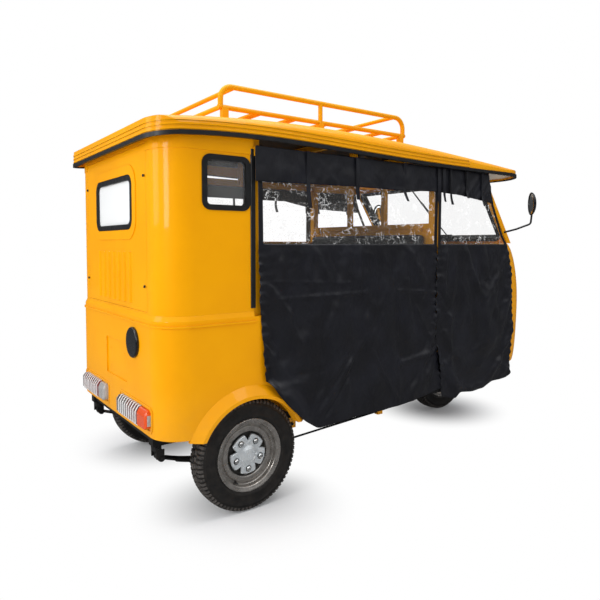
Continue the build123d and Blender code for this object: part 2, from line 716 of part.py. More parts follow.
# Pads: X range, half width, height of the top
BACK_TOP = PARTITION_RAIL - 28
REAR_BACK_TOP = 1270
REAR_SEAT_HALF = 420
SEAT_HALF = 530
CUSHIONS = {
    "rear_seat_cushion": ((BODY_REAR + 111, BODY_REAR + 486), REAR_SEAT_HALF, CUSHION_TOP),
    "rear_seat_back": ((BODY_REAR + 26, BODY_REAR + 106), REAR_SEAT_HALF, REAR_BACK_TOP),
    "front_seat_cushion": ((PARTITION_X - 411, PARTITION_X - 81), SEAT_HALF, CUSHION_TOP),
    "front_seat_back": ((PARTITION_X - 76, PARTITION_X - 3), SEAT_HALF, BACK_TOP),
    "driver_seat_cushion": ((PARTITION_X + 74, PARTITION_X + 349), SEAT_HALF, CUSHION_TOP),
    "driver_seat_back": ((PARTITION_X + 3, PARTITION_X + 69), SEAT_HALF, BACK_TOP),
}
PAD_CORNER = 24


def cushion(x, half, top):
    """Plain pad that stands on its seat box, a small gap clear of its neighbours."""
    gap = SEAT_GAP
    pad = block((x[0] + gap, x[1] - gap), (gap - half, half - gap), (CUSHION_TOP - CUSHION + gap, top))
    return fillet(pad.edges(), PAD_CORNER)


def battery_pack():
    return block((-290, 10), (-260, 260), (FLOOR_TOP, 640))


def guard_rail():
    y = PILLAR_Y
    return rod((CABIN_FRONT + 42, y, 1228), (PARTITION_X - 20, y, 1228), 10)


# Windscreen, drawn in its own leaning plane
SCREEN_LEAN = math.hypot(1, SCREEN_SLOPE)
SCREEN_NORMAL = (1 / SCREEN_LEAN, 0, SCREEN_SLOPE / SCREEN_LEAN)
SCREEN_PLANE = Plane((SCREEN_FOOT, 0, SCREEN_FOOT_Z), x_dir=(0, 1, 0), z_dir=SCREEN_NORMAL)
SCREEN_LENGTH = (SCREEN_HEAD_Z - SCREEN_FOOT_Z) * SCREEN_LEAN
SCREEN_HALF = 588
SCREEN_DEPTH = 34


def screen_view(sketch, depth):
    low, high = depth
    return extrude(SCREEN_PLANE * (Pos(0, 0, low) * sketch), amount=high - low)


SCREEN_GLAZING = (2 * SCREEN_HALF - 60, SCREEN_LENGTH - 50, 50, (0, SCREEN_LENGTH / 2 + 4))


def windscreen_frame():
    half = SCREEN_DEPTH / 2
    ring = Pos(0, SCREEN_LENGTH / 2) * Rectangle(2 * SCREEN_HALF, SCREEN_LENGTH + 60)
    ring = screen_view(ring - cut_size(SCREEN_GLAZING, GASKET_BITE), (-half, half))
    wide, behind, ahead = SCREEN_HALF + 1, SCREEN_HEAD - 100, SCREEN_FOOT + 100
    ring -= block((behind, ahead), (-wide, wide), (NOSE_TOP - 100, NOSE_TOP))
    ring -= block((behind, SCREEN_HEAD + 20), (-wide, wide), (HEADER_LOW, ROOF_CLEAR))
    return ring - block((behind, ahead), (-wide, wide), (SCREEN_HEAD_Z + 12, ROOF_CLEAR))


WIPER_LINE = [(-88, 12), (54, 438)]


def wiper():
    lift = SCREEN_DEPTH / 2 + 5

    def at(t, height):
        (u0, v0), (u1, v1) = WIPER_LINE
        return tuple(SCREEN_PLANE.from_local_coords(Vector(u0 + t * (u1 - u0), v0 + t * (v1 - v0), height)))

    arm = rod(at(0, lift + 12), at(0.75, lift + 8), 4)
    arm += rod(at(0, SCREEN_DEPTH / 2), at(0, lift + 18), 13)
    blade = rod(at(0.42, lift + 2), at(1, lift + 2), 5)
    post = rod(at(0.75, lift + 8), at(0.75, lift - 2), 6)
    return arm + post + blade


# Mirror arm and head, by offsets from the foot of the screen's frame
MIRROR_ARM = [(-55, 0, 69), (0, 52, 89), (67, 112, 123), (73, 116, 193)]
MIRROR_HEAD = (77, 116, 252)
MIRROR_SIZE = (50, 76)


def by_screen_foot(side, offset):
    """Point beside the foot of the screen's frame."""
    along, out, up = offset
    return (SCREEN_FOOT + along, side * (SCREEN_HALF + out), SCREEN_FOOT_Z + up)


def mirror_arm(side):
    points = [by_screen_foot(side, offset) for offset in MIRROR_ARM]
    return bent_tube(points, 22, 6) - windscreen_frame()


def mirror_head(side):
    x, y, z = by_screen_foot(side, MIRROR_HEAD)
    sketch = Pos(y, z) * Ellipse(*MIRROR_SIZE)
    return end_view(sketch, (x - 16, x + 6)) - mirror_arm(side)


def dashboard():
    return block((NOSE_REAR - 95, NOSE_REAR - FRAME_TUBE), (-536, 536), (1120, 1180))


# Wheels
def tyre(centre, side):
    half, rim_half = TYRE_WIDTH / 2, RIM_WIDTH / 2
    seat, shoulder = RIM_RADIUS - 16, TYRE_RADIUS - 10
    gap = EAR_GAP
    wall_right = ThreePointArc((RIM_RADIUS + gap, half - 4), ((RIM_RADIUS + shoulder) / 2, half), (shoulder, half - 8))
    tread = ThreePointArc((shoulder, half - 8), (TYRE_RADIUS, 0), (shoulder, 8 - half))
    wall_left = ThreePointArc((shoulder, 8 - half), ((RIM_RADIUS + shoulder) / 2, -half), (RIM_RADIUS + gap, 4 - half))
    inner = Polyline((RIM_RADIUS + gap, 4 - half), (RIM_RADIUS + gap, 6 + gap - rim_half), (seat + gap, 6 + gap - rim_half),
                     (seat + gap, rim_half - 6 - gap), (RIM_RADIUS + gap, rim_half - 6 - gap), (RIM_RADIUS + gap, half - 4))
    profile = make_face([wall_right, tread, wall_left, inner])
    return Pos(*centre) * revolve(profile, axis=Axis.Y)


def rim_barrel(centre, side):
    w, seat = RIM_WIDTH / 2, RIM_RADIUS - 16
    profile = [(RIM_RADIUS, w), (RIM_RADIUS, w - 6), (seat, w - 6), (seat, 14), (134, 8), (134, -8), (seat, -14),
               (seat, 6 - w), (RIM_RADIUS, 6 - w), (RIM_RADIUS, -w), (161, -w), (161, -w + 2), (145, -w + 2),
               (145, -16), (128, -10), (128, 12), (145, 18), (145, w - 2), (161, w - 2), (161, w)]
    return turned(profile, centre, side)


def rear_rim(centre, side):
    face = turned([(129, 6), (129, 12), (108, 12), (98, 26), (30, 26), (30, 20), (94, 20), (104, 6)], centre, side)
    drum = turned([(SPINDLE_RADIUS + RUNNING, -58), (92, -58), (92, -16), (60, -16), (44, 22), (30, 26), (0, 26),
                   (0, 19), (SPINDLE_RADIUS + RUNNING, 19)], centre, side)
    return rim_barrel(centre, side) + face + drum


def hub_cover(centre, side):
    """Pressed cover with lobes between the nuts, and the nuts on it."""
    face_y = centre[1] + side * 26
    plate = Circle(HUB_COVER_RADIUS)
    for k in range(NUT_COUNT):
        tip = bend_point(0, 0, HUB_COVER_RADIUS - LOBE_DEPTH, 90 + 360 * (k + 0.5) / NUT_COUNT)
        wide = [bend_point(0, 0, HUB_COVER_RADIUS + 4, 90 + 360 * (k + 0.5 + d) / NUT_COUNT) for d in (-0.16, 0.16)]
        plate -= polygon(tip, wide[0], wide[1])
    y = sorted((face_y, face_y + side * 7))
    cover = side_view(Pos(centre[0], centre[2]) * plate, y)
    cover += turned([(0, 7), (46, 7), (40, 20), (30, 24), (28, 30), (0, 30)], (centre[0], face_y, centre[2]), side)
    for k in range(NUT_COUNT):
        x, z = bend_point(centre[0], centre[2], NUT_CIRCLE / 2, 90 + 360 * k / NUT_COUNT)
        nut = Pos(x, z) * RegularPolygon(12, 6)
        cover += side_view(nut, sorted((face_y + side * 6, face_y + side * 20)))
    return cover


def front_rim():
    centre = WHEEL_CENTRE
    face = turned([(129, -3), (129, 3), (40, 9), (40, -9)], centre)
    hub = turned([(AXLE_PIN + RUNNING, -48), (42, -48), (42, 48), (AXLE_PIN + RUNNING, 48)], centre)
    return rim_barrel(centre, 1) + face + hub


AXLE_PIN = 10


# Fork, mudguard and handlebar turn about the steering axis
def fork():
    legs = Part()
    for side in SIDES.values():
        y = side * FORK_LEG_Y
        legs += rod(steer_point(-26, y), steer_point(240, y), 24)
        legs += rod(steer_point(240, y), steer_point(CROWN_AT + 20, y), 17)
        legs += rod((WHEELBASE, side * 53, AXLE_Z), (WHEELBASE, y, AXLE_Z), 18)
    legs += rod((WHEELBASE, -FORK_LEG_Y - 32, AXLE_Z), (WHEELBASE, FORK_LEG_Y + 32, AXLE_Z), AXLE_PIN)
    crown = Plane(steer_point(CROWN_AT), x_dir=(0, 1, 0), z_dir=STEER)
    legs += extrude(crown * RectangleRounded(2 * FORK_LEG_Y + 52, 54, 25), amount=18, both=True)
    return legs + rod(steer_point(CROWN_AT), steer_point(BAR_AT), STEM_RADIUS)


def front_mudguard():
    t, half = 4, MUDGUARD_WIDTH / 2
    ring = turned([(MUDGUARD_RADIUS, -half), (MUDGUARD_RADIUS + t, -half), (MUDGUARD_RADIUS + t, half),
                   (MUDGUARD_RADIUS, half)], WHEEL_CENTRE)
    lips = turned([(MUDGUARD_RADIUS - 12, half - t), (MUDGUARD_RADIUS + 1, half - t), (MUDGUARD_RADIUS + 1, half),
                   (MUDGUARD_RADIUS - 12, half)], WHEEL_CENTRE)
    guard = ring + lips + mirror(lips, about=Plane.XZ)
    ray = 600
    start, end = (math.radians(a) for a in (24, 172))
    corners = [(0, 0)] + [(ray * math.cos(a), ray * math.sin(a))
                          for a in (start, (start * 2 + end) / 3, (start + 2 * end) / 3, end)]
    keep = polygon(*[(WHEELBASE + x, AXLE_Z + z) for x, z in corners])
    guard = guard & side_view(keep, (-half - 1, half + 1))
    for side in SIDES.values():
        at = steer_point(MUDGUARD_RADIUS - 30)
        tab = block((at[0] - 20, at[0] + 20), sorted((side * (half - t), side * (FORK_LEG_Y - 10))),
                    (at[2] - 10, at[2] + 24))
        guard += tab
    return guard - fork()


HANDLE = [(-36, -BAR_HALF, 14), (-14, -230, 14), (10, -110, 0), (10, 110, 0), (-14, 230, 14), (-36, BAR_HALF, 14)]


def handlebar():
    base = steer_point(BAR_AT)
    points = [(base[0] + x, y, base[2] + z + 14) for x, y, z in HANDLE]
    bar = bent_tube(points, 40, 11)
    bar += block((base[0] - 24, base[0] + 34), (-40, 40), (base[2] - 34, base[2] + 26))
    bar -= rod(steer_point(BAR_AT - 60), steer_point(BAR_AT), STEM_RADIUS)
    for side in SIDES.values():
        end, inner = points[0 if side < 0 else -1], points[1 if side < 0 else -2]
        span = Vector(*end) - Vector(*inner)
        grip_start = Vector(*inner) + span * 0.28
        bar += rod(tuple(grip_start), end, 16)
        clamp = Vector(*inner) + span * 0.14
        bar += rod(tuple(clamp + Vector(0, 0, -16)), tuple(clamp + Vector(0, 0, 34)), 26)
        tip = (end[0] + 52, end[1] - side * 20, end[2] - 6)
        bar += rod(tuple(clamp + Vector(24, 0, 0)), tip, 6)
    return bar


# Rear axle, motor and springs
DRUM_GAP = 5


def rear_axle():
    backplate = TRACK_HALF - 58 - DRUM_GAP
    axle = rod((0, -backplate, AXLE_Z), (0, backplate, AXLE_Z), 32)
    axle += turned([(0, -70), (50, -70), (88, -40), (88, 40), (50, 70), (0, 70)], (0, 70, AXLE_Z))
    for side in SIDES.values():
        y = side * backplate
        axle += rod((0, y, AXLE_Z), (0, side * (TRACK_HALF + 18), AXLE_Z), SPINDLE_RADIUS)
        axle += disc(92, side, (-6, 0), (0, y, AXLE_Z))
        pad = (side * RAIL_Y - LEAF_WIDTH / 2, side * RAIL_Y + LEAF_WIDTH / 2)
        axle += block((-40, 40), pad, (LEAF_LOW + LEAF / 2, AXLE_Z))
    return axle - leaf_spring(-1) - leaf_spring(1)


def drive_motor():
    axis = (-118, 286)
    motor = rod((axis[0], -120, axis[1]), (axis[0], 96, axis[1]), 74)
    return motor - rear_axle()


def leaf_height(x):
    """Height of the main leaf's middle line."""
    end = SPRING_EYES["rear"] if x < 0 else SPRING_EYES["front"]
    return LEAF_LOW + (end[1] - LEAF_LOW) * (x / end[0]) ** 2


def leaf_spring(side):
    y = side * RAIL_Y
    span = (y - LEAF_WIDTH / 2, y + LEAF_WIDTH / 2)
    spring = Part()
    for k in range(LEAF_COUNT):
        low, high = ((1 - 0.19 * k) * SPRING_EYES[end][0] for end in ("rear", "front"))
        drop = k * LEAF
        upper = ThreePointArc((low, leaf_height(low) + LEAF / 2 - drop), (0, LEAF_LOW + LEAF / 2 - drop),
                              (high, leaf_height(high) + LEAF / 2 - drop))
        lower = ThreePointArc((low, leaf_height(low) - LEAF / 2 - drop), (0, LEAF_LOW - LEAF / 2 - drop),
                              (high, leaf_height(high) - LEAF / 2 - drop))
        ends = [Line(upper @ 0, lower @ 0), Line(upper @ 1, lower @ 1)]
        spring += side_view(make_face([upper, lower] + ends), span)
    outside = LEAF_WIDTH / 2 + EAR_GAP + EAR + 6
    for x, z in SPRING_EYES.values():
        spring += rod((x, span[0], z), (x, span[1], z), 16)
        spring += rod((x, y - outside, z), (x, y + outside, z), PIN_RADIUS)
    eye, pin = SPRING_EYES["rear"], SHACKLE_PIN
    spring += rod((pin[0], y - outside, pin[1]), (pin[0], y + outside, pin[1]), PIN_RADIUS)
    for edge in (span[0] - EAR_GAP - EAR, span[1] + EAR_GAP):
        link = side_view(Pos(*eye) * Circle(15) + Pos(*pin) * Circle(13), (edge, edge + EAR))
        link += block((pin[0] - 12, eye[0] + 12), (edge, edge + EAR), (eye[1], pin[1]))
        spring += link
    clip = (span[0] - 6, span[1] + 6)
    for x in (-46, 46):
        for edge in clip:
            spring += rod((x, edge, LEAF_LOW - LEAF_COUNT * LEAF - 10), (x, edge, AXLE_Z + 38), 5)
        spring += block((x - 6, x + 6), (clip[0] - 5, clip[1] + 5), (AXLE_Z + 32, AXLE_Z + 40))
    plate_low = LEAF_LOW - LEAF_COUNT * LEAF - 4
    spring += block((-60, 60), (span[0] - 12, span[1] + 12), (plate_low, plate_low + 10))
    return spring


def brake_rod():
    (x0, z0), (x1, z1), (x2, z2) = ROD_POINTS
    first, second, third = (x0, ROD_Y, z0), (x1, ROD_Y, z1), (x2, ROD_Y, z2)
    linkage = rod(first, second, 5) + rod(second, third, 5)
    for x, z in ROD_POINTS[1:]:
        linkage += rod((x - 20, ROD_Y, z), (x + 20, ROD_Y, z), 7)
    plate = polygon((40, 262), (52, 240), (98, 212), (104, 228))
    backplate = -(TRACK_HALF - 58 - DRUM_GAP - 6)
    return linkage + side_view(plate, (backplate, ROD_Y + 3))


def lamp_profile(inset):
    """Side outline of a tail lamp, drawn inward from its face by an inset."""
    low, high, face = TAIL_Z - TAIL_HEIGHT / 2, TAIL_Z + TAIL_HEIGHT / 2, TUB_REAR - TAIL_PROUD + inset
    return polygon((TUB_REAR, low + inset), (face + 6, low + 2 + inset), (face, low + 14), (face, high - 26),
                   (TUB_REAR - 12, high - inset), (TUB_REAR, high - inset))


def tail_lamp(side):
    """Lamp with round ends whose lens lies between standing ribs."""
    middle, width = side * (TAIL_INNER + TAIL_OUTER) / 2, TAIL_OUTER - TAIL_INNER
    plan = Pos(TUB_REAR, middle) * Rectangle(2 * TAIL_PROUD, width)
    plan = plan_view(fillet(plan.vertices(), TAIL_END), (TAIL_Z - TAIL_HEIGHT, TAIL_Z + TAIL_HEIGHT))
    lamp = side_view(lamp_profile(RIB_PROUD), (middle - width / 2, middle + width / 2))
    start = middle + width / 2 - RIB_FROM
    for k in range(RIB_COUNT):
        y = start - k * RIB_PITCH
        lamp += side_view(lamp_profile(0), (y - RIB_WIDTH, y))
    return lamp & plan


def port_cap():
    cap = rod((TUB_REAR, CAP_Y, CAP_Z), (TUB_REAR - CAP_PROUD, CAP_Y, CAP_Z), CAP_RADIUS)
    return fillet(cap.edges().group_by(Axis.X)[0], 8)


# Curtains, drawn from the side
def curtain_faces():
    """Outline of each curtain and of its clear film."""
    top = HEADER_LOW + 30
    seam = CURTAIN_SPLIT
    passenger = polygon((CURTAIN_REAR, top), (CURTAIN_REAR, FILM_LOW), (52, 966), (66, 737), (80, CURTAIN_FOOT + 180),
                        (348, CURTAIN_FOOT), (seam, CURTAIN_FOOT + 6), (seam, top))
    passenger_film = polygon((CURTAIN_REAR + 25, FILM_LOW), (CURTAIN_REAR + 25, FILM_HIGH), (seam - 25, FILM_HIGH),
                             (seam - 25, FILM_LOW))
    foot = SCREEN_FOOT
    cab = polygon((seam + CURTAIN_SEAM, top), (seam + CURTAIN_SEAM, CURTAIN_FOOT + 6), (foot - 20, CURTAIN_FOOT),
                  (foot + 2, 591), (foot - 13, 1052), (foot - 62, FILM_LOW + 8), (foot - 175, 1416),
                  (foot - 282, 1555), (foot - 289, top))
    cab_film = polygon((seam + 35, FILM_LOW), (seam + 35, FILM_HIGH), (foot - 299, FILM_HIGH), (foot - 202, 1400),
                       (foot - 95, FILM_LOW))
    return {"passenger": (passenger, passenger_film), "cab": (cab, cab_film)}


def across(side, low, high):
    """Range of Y on one side, from distances outward."""
    return sorted((side * low, side * high))


def side_curtain(side):
    """Passenger and cab curtain of one side, hung clear of the flare."""
    sheets = Part()
    for sheet, film in curtain_faces().values():
        sheets += side_view(sheet - film, across(side, CURTAIN_Y, CURTAIN_Y + CLOTH))
    return sheets - disc(FLARE_RADIUS + 6, side, (-40, 60), (0, side * TUB_HALF, AXLE_Z))


def curtain_films():
    films = Part()
    low = CURTAIN_Y + (CLOTH - FILM) / 2
    for side in SIDES.values():
        for sheet, film in curtain_faces().values():
            films += side_view(film, across(side, low, low + FILM))
    return films


def valance(side):
    top, front = HEADER_LOW + 34, SCREEN_HEAD + 10
    sheet = polygon((CURTAIN_REAR, top), (CURTAIN_REAR, VALANCE_LOW), (PARTITION_X, VALANCE_LOW),
                    (front - 175, 1486), (front, 1470), (front, top))
    low = CURTAIN_Y + CLOTH + EAR_GAP
    return side_view(sheet, across(side, low, low + CLOTH))


if __name__ == "__main__":
    os.makedirs("parts", exist_ok=True)
    write("rear_tub", rear_tub())
    write("rear_cabin", rear_cabin())
    write("rear_panel", rear_panel())
    write("roof_shell", roof_shell())
    write("roof_edge_trim", roof_edge_trim())
    write("roof_rack", roof_rack())
    write("chassis_frame", chassis_frame())
    write("floor_pan", floor_pan())
    write("front_wheel_arch", front_wheel_arch())
    write("nose_panel", nose_panel())
    write("front_lamps", front_lamps())
    write("cab_frame", cab_frame())
    write("roof_bows", roof_bows())
    write("partition_frame", partition_frame())
    write("seat_boxes", seat_boxes())
    for node, sizes in CUSHIONS.items():
        write(node, cushion(*sizes))
    write("battery_pack", battery_pack())
    gaskets, panes = glazing(REAR_WINDOW, end_view, BODY_REAR, 1)
    for side in SIDES.values():
        gasket, glass = glazing(QUARTER_WINDOW, side_view, side * UPPER_HALF, -side)
        gaskets += gasket
        panes += glass
    write("window_gaskets", gaskets)
    write("window_glass", panes)
    gasket, glass = glazing(SCREEN_GLAZING, screen_view, SCREEN_DEPTH / 2, -1, SCREEN_DEPTH)
    write("windscreen_frame", windscreen_frame())
    write("windscreen_gasket", gasket)
    write("windscreen_glass", glass)
    write("wiper", wiper())
    write("dashboard", dashboard())
    write("fork", fork())
    write("front_mudguard", front_mudguard())
    write("handlebar", handlebar())
    write("front_tyre", tyre(WHEEL_CENTRE, 1))
    write("front_rim", front_rim())
    write("rear_axle", rear_axle())
    write("drive_motor", drive_motor())
    write("brake_rod", brake_rod())
    write("port_cap", port_cap())
    write("leaf_springs", leaf_spring(-1) + leaf_spring(1))
    write("tail_lamps", tail_lamp(-1) + tail_lamp(1))
    write("mirror_arms", mirror_arm(-1) + mirror_arm(1))
    write("mirror_heads", mirror_head(-1) + mirror_head(1))
    for name, side in SIDES.items():
        centre = (0, side * TRACK_HALF, AXLE_Z)
        write(f"rear_tyre_{name}", tyre(centre, side))
        write(f"rear_rim_{name}", rear_rim(centre, side))
        write(f"hub_cover_{name}", hub_cover(centre, side))
        write(f"side_curtain_{name}", side_curtain(side))
    write("curtain_films", curtain_films())
    write("valances", valance(-1) + valance(1))
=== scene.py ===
"""Finishes, cloth, tyres and trim of an auto rickshaw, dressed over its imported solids.

Everything is in metres in the part's own frame: X forward, Y to the left, Z up from the ground.
Stations that belong to the body are measured along X from the rear axle.
"""

import logging
import math
import random
from collections.abc import Iterable, Mapping, Sequence
from dataclasses import dataclass
from enum import Enum

import bmesh
import bpy
import numpy as np
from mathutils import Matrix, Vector, noise


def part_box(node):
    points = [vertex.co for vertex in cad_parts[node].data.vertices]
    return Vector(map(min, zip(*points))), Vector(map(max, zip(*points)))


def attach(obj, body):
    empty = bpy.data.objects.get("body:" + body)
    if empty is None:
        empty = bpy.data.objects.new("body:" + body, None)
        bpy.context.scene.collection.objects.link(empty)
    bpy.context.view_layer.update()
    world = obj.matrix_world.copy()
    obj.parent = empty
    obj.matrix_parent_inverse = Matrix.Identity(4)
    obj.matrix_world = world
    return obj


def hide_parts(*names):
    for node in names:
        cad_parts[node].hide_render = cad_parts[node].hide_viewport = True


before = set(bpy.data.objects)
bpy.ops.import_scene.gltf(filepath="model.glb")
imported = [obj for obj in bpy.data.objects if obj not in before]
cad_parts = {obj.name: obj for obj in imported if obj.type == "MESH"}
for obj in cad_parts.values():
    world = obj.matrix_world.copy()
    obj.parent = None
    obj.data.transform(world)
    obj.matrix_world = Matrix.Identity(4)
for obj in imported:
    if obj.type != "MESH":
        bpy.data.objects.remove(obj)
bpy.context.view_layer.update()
LOG = logging.getLogger("auto_rickshaw")

Tree = bpy.types.NodeTree
Node = bpy.types.Node
Socket = bpy.types.NodeSocket
Piece = bpy.types.Object
Point = tuple[float, float, float]
Colour = tuple[float, float, float, float]
Outline = Sequence[tuple[float, float]]

AXLE_X = sum(corner.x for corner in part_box("rear_tyre_left")) / 2
AXLE_Z = sum(corner.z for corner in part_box("rear_tyre_left")) / 2
TAU = 2 * math.pi


class Body(Enum):
    """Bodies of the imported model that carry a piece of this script."""

    MAIN = "body"
    FRONT_WHEEL = "front_wheel"
    REAR_LEFT = "rear_wheel_left"
    REAR_RIGHT = "rear_wheel_right"


class Side(Enum):
    """Sides of the vehicle, by the sign of Y."""

    RIGHT = -1
    LEFT = 1

    @property
    def word(self) -> str:
        """Name of the side as pieces carry it."""
        return self.name.lower()


class Layout(Enum):
    """Ways to lay copies of one item."""

    RING = "turned about an axle"
    PLACES = "at the points of a mesh"


def linear(code: str) -> Colour:
    """Turn an sRGB hex colour into linear light.

    Args:
        code: Six hex digits.

    Returns:
        Red, green, blue and a full alpha.
    """
    parts = [int(code[k:k + 2], 16) / 255 for k in (0, 2, 4)]
    red, green, blue = (p / 12.92 if p <= 0.04045 else ((p + 0.055) / 1.055) ** 2.4 for p in parts)
    return red, green, blue, 1.0


def add_node(tree: Tree, kind: str, inputs: Mapping[str | int, object] | None = None, **settings: object) -> Node:
    """Add one node with its settings, values and links.

    Args:
        tree: Tree that gets the node.
        kind: Blender's type name of the node.
        inputs: Value or source socket for each input, by name or number.
        **settings: Properties of the node itself.

    Returns:
        The new node.
    """
    node = tree.nodes.new(kind)
    for name, value in settings.items():
        setattr(node, name, value)
    for key, value in (inputs or {}).items():
        if isinstance(value, Socket):
            tree.links.new(value, node.inputs[key])
        else:
            node.inputs[key].default_value = value
    return node


def maths(tree: Tree, operation: str, *values: object) -> Socket:
    """Add one sum.

    Args:
        tree: Tree that gets the node.
        operation: Blender's name of the sum.
        *values: Numbers or source sockets, in their order.

    Returns:
        Its result.
    """
    return add_node(tree, "ShaderNodeMath", dict(enumerate(values)), operation=operation).outputs[0]


def mapped(tree: Tree, value: Socket, given: tuple[float, float],
           wanted: tuple[float, float] = (0.0, 1.0), **settings: object) -> Socket:
    """Carry a value from one range over to another, and hold it past the ends.

    Args:
        tree: Tree that gets the node.
        value: Source socket.
        given: Range that the value comes in.
        wanted: Range that it goes out in.
        **settings: Properties of the node itself.

    Returns:
        The new value.
    """
    ends = {"From Min": given[0], "From Max": given[1], "To Min": wanted[0], "To Max": wanted[1]}
    return add_node(tree, "ShaderNodeMapRange", {"Value": value, **ends}, **settings).outputs[0]


def mixed(tree: Tree, share: object, one: object, other: object) -> Socket:
    """Mix two colours.

    Args:
        tree: Tree that gets the node.
        share: Share of the second colour, as a number or a socket.
        one: First colour, linear or a socket.
        other: Second colour, linear or a socket.

    Returns:
        The mixed colour.
    """
    return add_node(tree, "ShaderNodeMix", {0: share, 6: one, 7: other}, data_type="RGBA").outputs[2]


def clouds(tree: Tree, place: Socket, per_metre: float, detail: float, **values: float) -> Socket:
    """Soft noise over a surface.

    Args:
        tree: Tree that gets the node.
        place: Coordinates of the noise.
        per_metre: How many of its patches lie in a metre.
        detail: How many finer layers it has.
        **values: Other inputs of the node.

    Returns:
        Its height from 0 to 1.
    """
    return add_node(tree, "ShaderNodeTexNoise", {"Vector": place, "Scale": per_metre, "Detail": detail,
                                                 **values}).outputs[0]


def split(tree: Tree, place: Socket) -> Sequence[Socket]:
    """Take X, Y and Z out of a vector."""
    return tuple(add_node(tree, "ShaderNodeSeparateXYZ", {0: place}).outputs)


def rounded_edges(tree: Tree, radius: float) -> Socket:
    """Surface direction that makes sharp edges look rounded to a radius in metres."""
    return add_node(tree, "ShaderNodeBevel", {"Radius": radius}, samples=4).outputs[0]


@dataclass(frozen=True)
class Finish:
    """A surface finish: its name, main colour and plain shader values."""

    name: str
    colour: str
    roughness: float = 0.5
    metallic: float = 0.0
    grain_mm: float = 1.2
    grain_depth_mm: float = 0.03

    def material(self) -> bpy.types.Material:
        """Make the material once and return it after that."""
        made = bpy.data.materials.get(self.name)
        if made is None:
            made = bpy.data.materials.new(self.name)
            made.use_nodes = True
            tree = made.node_tree
            shader = tree.nodes["Principled BSDF"]
            self.set_values(shader, base_color=linear(self.colour), roughness=self.roughness, metallic=self.metallic)
            self.dress(tree, shader, add_node(tree, "ShaderNodeTexCoord").outputs["Object"])
        return made

    @staticmethod
    def set_values(shader: Node, **values: object) -> None:
        """Set plain values of a shader.

        Args:
            shader: Main shader of a material.
            **values: Its inputs, named in small letters with lines between the words.
        """
        for name, value in values.items():
            label = name.replace("_", " ").title().replace("Ior", "IOR")
            shader.inputs[label].default_value = value

    def dress(self, tree: Tree, shader: Node, place: Socket) -> None:
        """Add the finish's pattern to the plain shader.

        Args:
            tree: Tree of the material.
            shader: Its main shader.
            place: Object coordinates in metres.
        """
        tree.links.new(self.bumped(tree, place, self.grain_mm, self.grain_depth_mm), shader.inputs["Normal"])
        self.vary_roughness(tree, shader, place, 60, 0.12)

    def mottled(self, tree: Tree, place: Socket, other: str, patch_mm: float,
                share: float, base: Socket | None = None) -> Socket:
        """Let the colour drift towards another in soft patches.

        Args:
            tree: Tree of the material.
            place: Coordinates of the pattern.
            other: Second colour.
            patch_mm: Size of a patch in millimetres.
            share: Most of the second colour, from 0 to 1.
            base: Colour so far, in place of the finish's own.

        Returns:
            The mixed colour.
        """
        spread = mapped(tree, clouds(tree, place, 1000 / patch_mm, 6.0), (0.38, 0.68), (0.0, share))
        return mixed(tree, spread, base or linear(self.colour), linear(other))

    def bumped(self, tree: Tree, place: Socket, spacing_mm: float, depth_mm: float,
               normal: Socket | None = None) -> Socket:
        """Raise a noise relief of a real spacing and depth.

        Args:
            tree: Tree of the material.
            place: Coordinates of the relief.
            spacing_mm: Distance between its bumps.
            depth_mm: Its depth.
            normal: Relief below this one.

        Returns:
            The new surface direction.
        """
        values = {"Height": clouds(tree, place, 1000 / spacing_mm, 2.0), "Distance": depth_mm / 1000}
        if normal is not None:
            values["Normal"] = normal
        return add_node(tree, "ShaderNodeBump", values).outputs[0]

    def vary_roughness(self, tree: Tree, shader: Node, place: Socket, patch_mm: float, spread: float) -> None:
        """Let the gloss change from patch to patch, as handled and weathered surfaces do.

        Args:
            tree: Tree of the material.
            shader: Its main shader.
            place: Coordinates of the pattern.
            patch_mm: Size of a patch in millimetres.
            spread: How far the roughness leaves the finish's own, either way.
        """
        gloss = mapped(tree, clouds(tree, place, 1000 / patch_mm, 4.0), (0.3, 0.7),
                       (max(0.02, self.roughness - spread), min(1.0, self.roughness + spread)))
        tree.links.new(gloss, shader.inputs["Roughness"])


@dataclass(frozen=True)
class Enamel(Finish):
    """Sprayed gloss enamel on pressed steel: deep colour, clear reflections, faint orange peel and ripple."""

    shade: str = "E08E00"
    underside: str = ""
    visor: str = ""
    visor_from: float = 1.70
    dust: float = 0.25
    dust_heights: tuple[float, float] = (0.36, 0.62)

    def dress(self, tree: Tree, shader: Node, place: Socket) -> None:
        """Add drifting tone, road dust low down, a clear coat, the sheet's ripple and its rounded edges.

        Args:
            tree: Tree of the material.
            shader: Its main shader.
            place: Object coordinates in metres.
        """
        # tone drifts over some 420 mm, and specks of dust lie some 45 mm apart
        colour = self.mottled(tree, place, self.shade, 420, 0.45)
        along, _, height = split(tree, place)
        low = mapped(tree, height, self.dust_heights, (self.dust, 0.0))
        colour = mixed(tree, maths(tree, "MULTIPLY", low, clouds(tree, place, 22.0, 8.0)), colour, linear("8C7350"))
        if self.underside:
            facing = split(tree, add_node(tree, "ShaderNodeNewGeometry").outputs[1])[2]
            ahead = maths(tree, "GREATER_THAN", along, AXLE_X + self.visor_from)
            below = mixed(tree, ahead, linear(self.underside), linear(self.visor))
            colour = mixed(tree, maths(tree, "LESS_THAN", facing, -0.3), colour, below)
        tree.links.new(colour, shader.inputs["Base Color"])
        self.set_values(shader, coat_weight=0.25, coat_roughness=0.05, specular_ior_level=0.06)
        # pressed sheet of about 1 mm shows edges rounded to some 2.5 mm, and hand-beaten panels ripple over 240 mm
        ripple = self.bumped(tree, place, 240, 1.2, rounded_edges(tree, 0.0025))
        tree.links.new(self.bumped(tree, place, 3.0, 0.006, ripple), shader.inputs["Normal"])
        tree.links.new(ripple, shader.inputs["Coat Normal"])


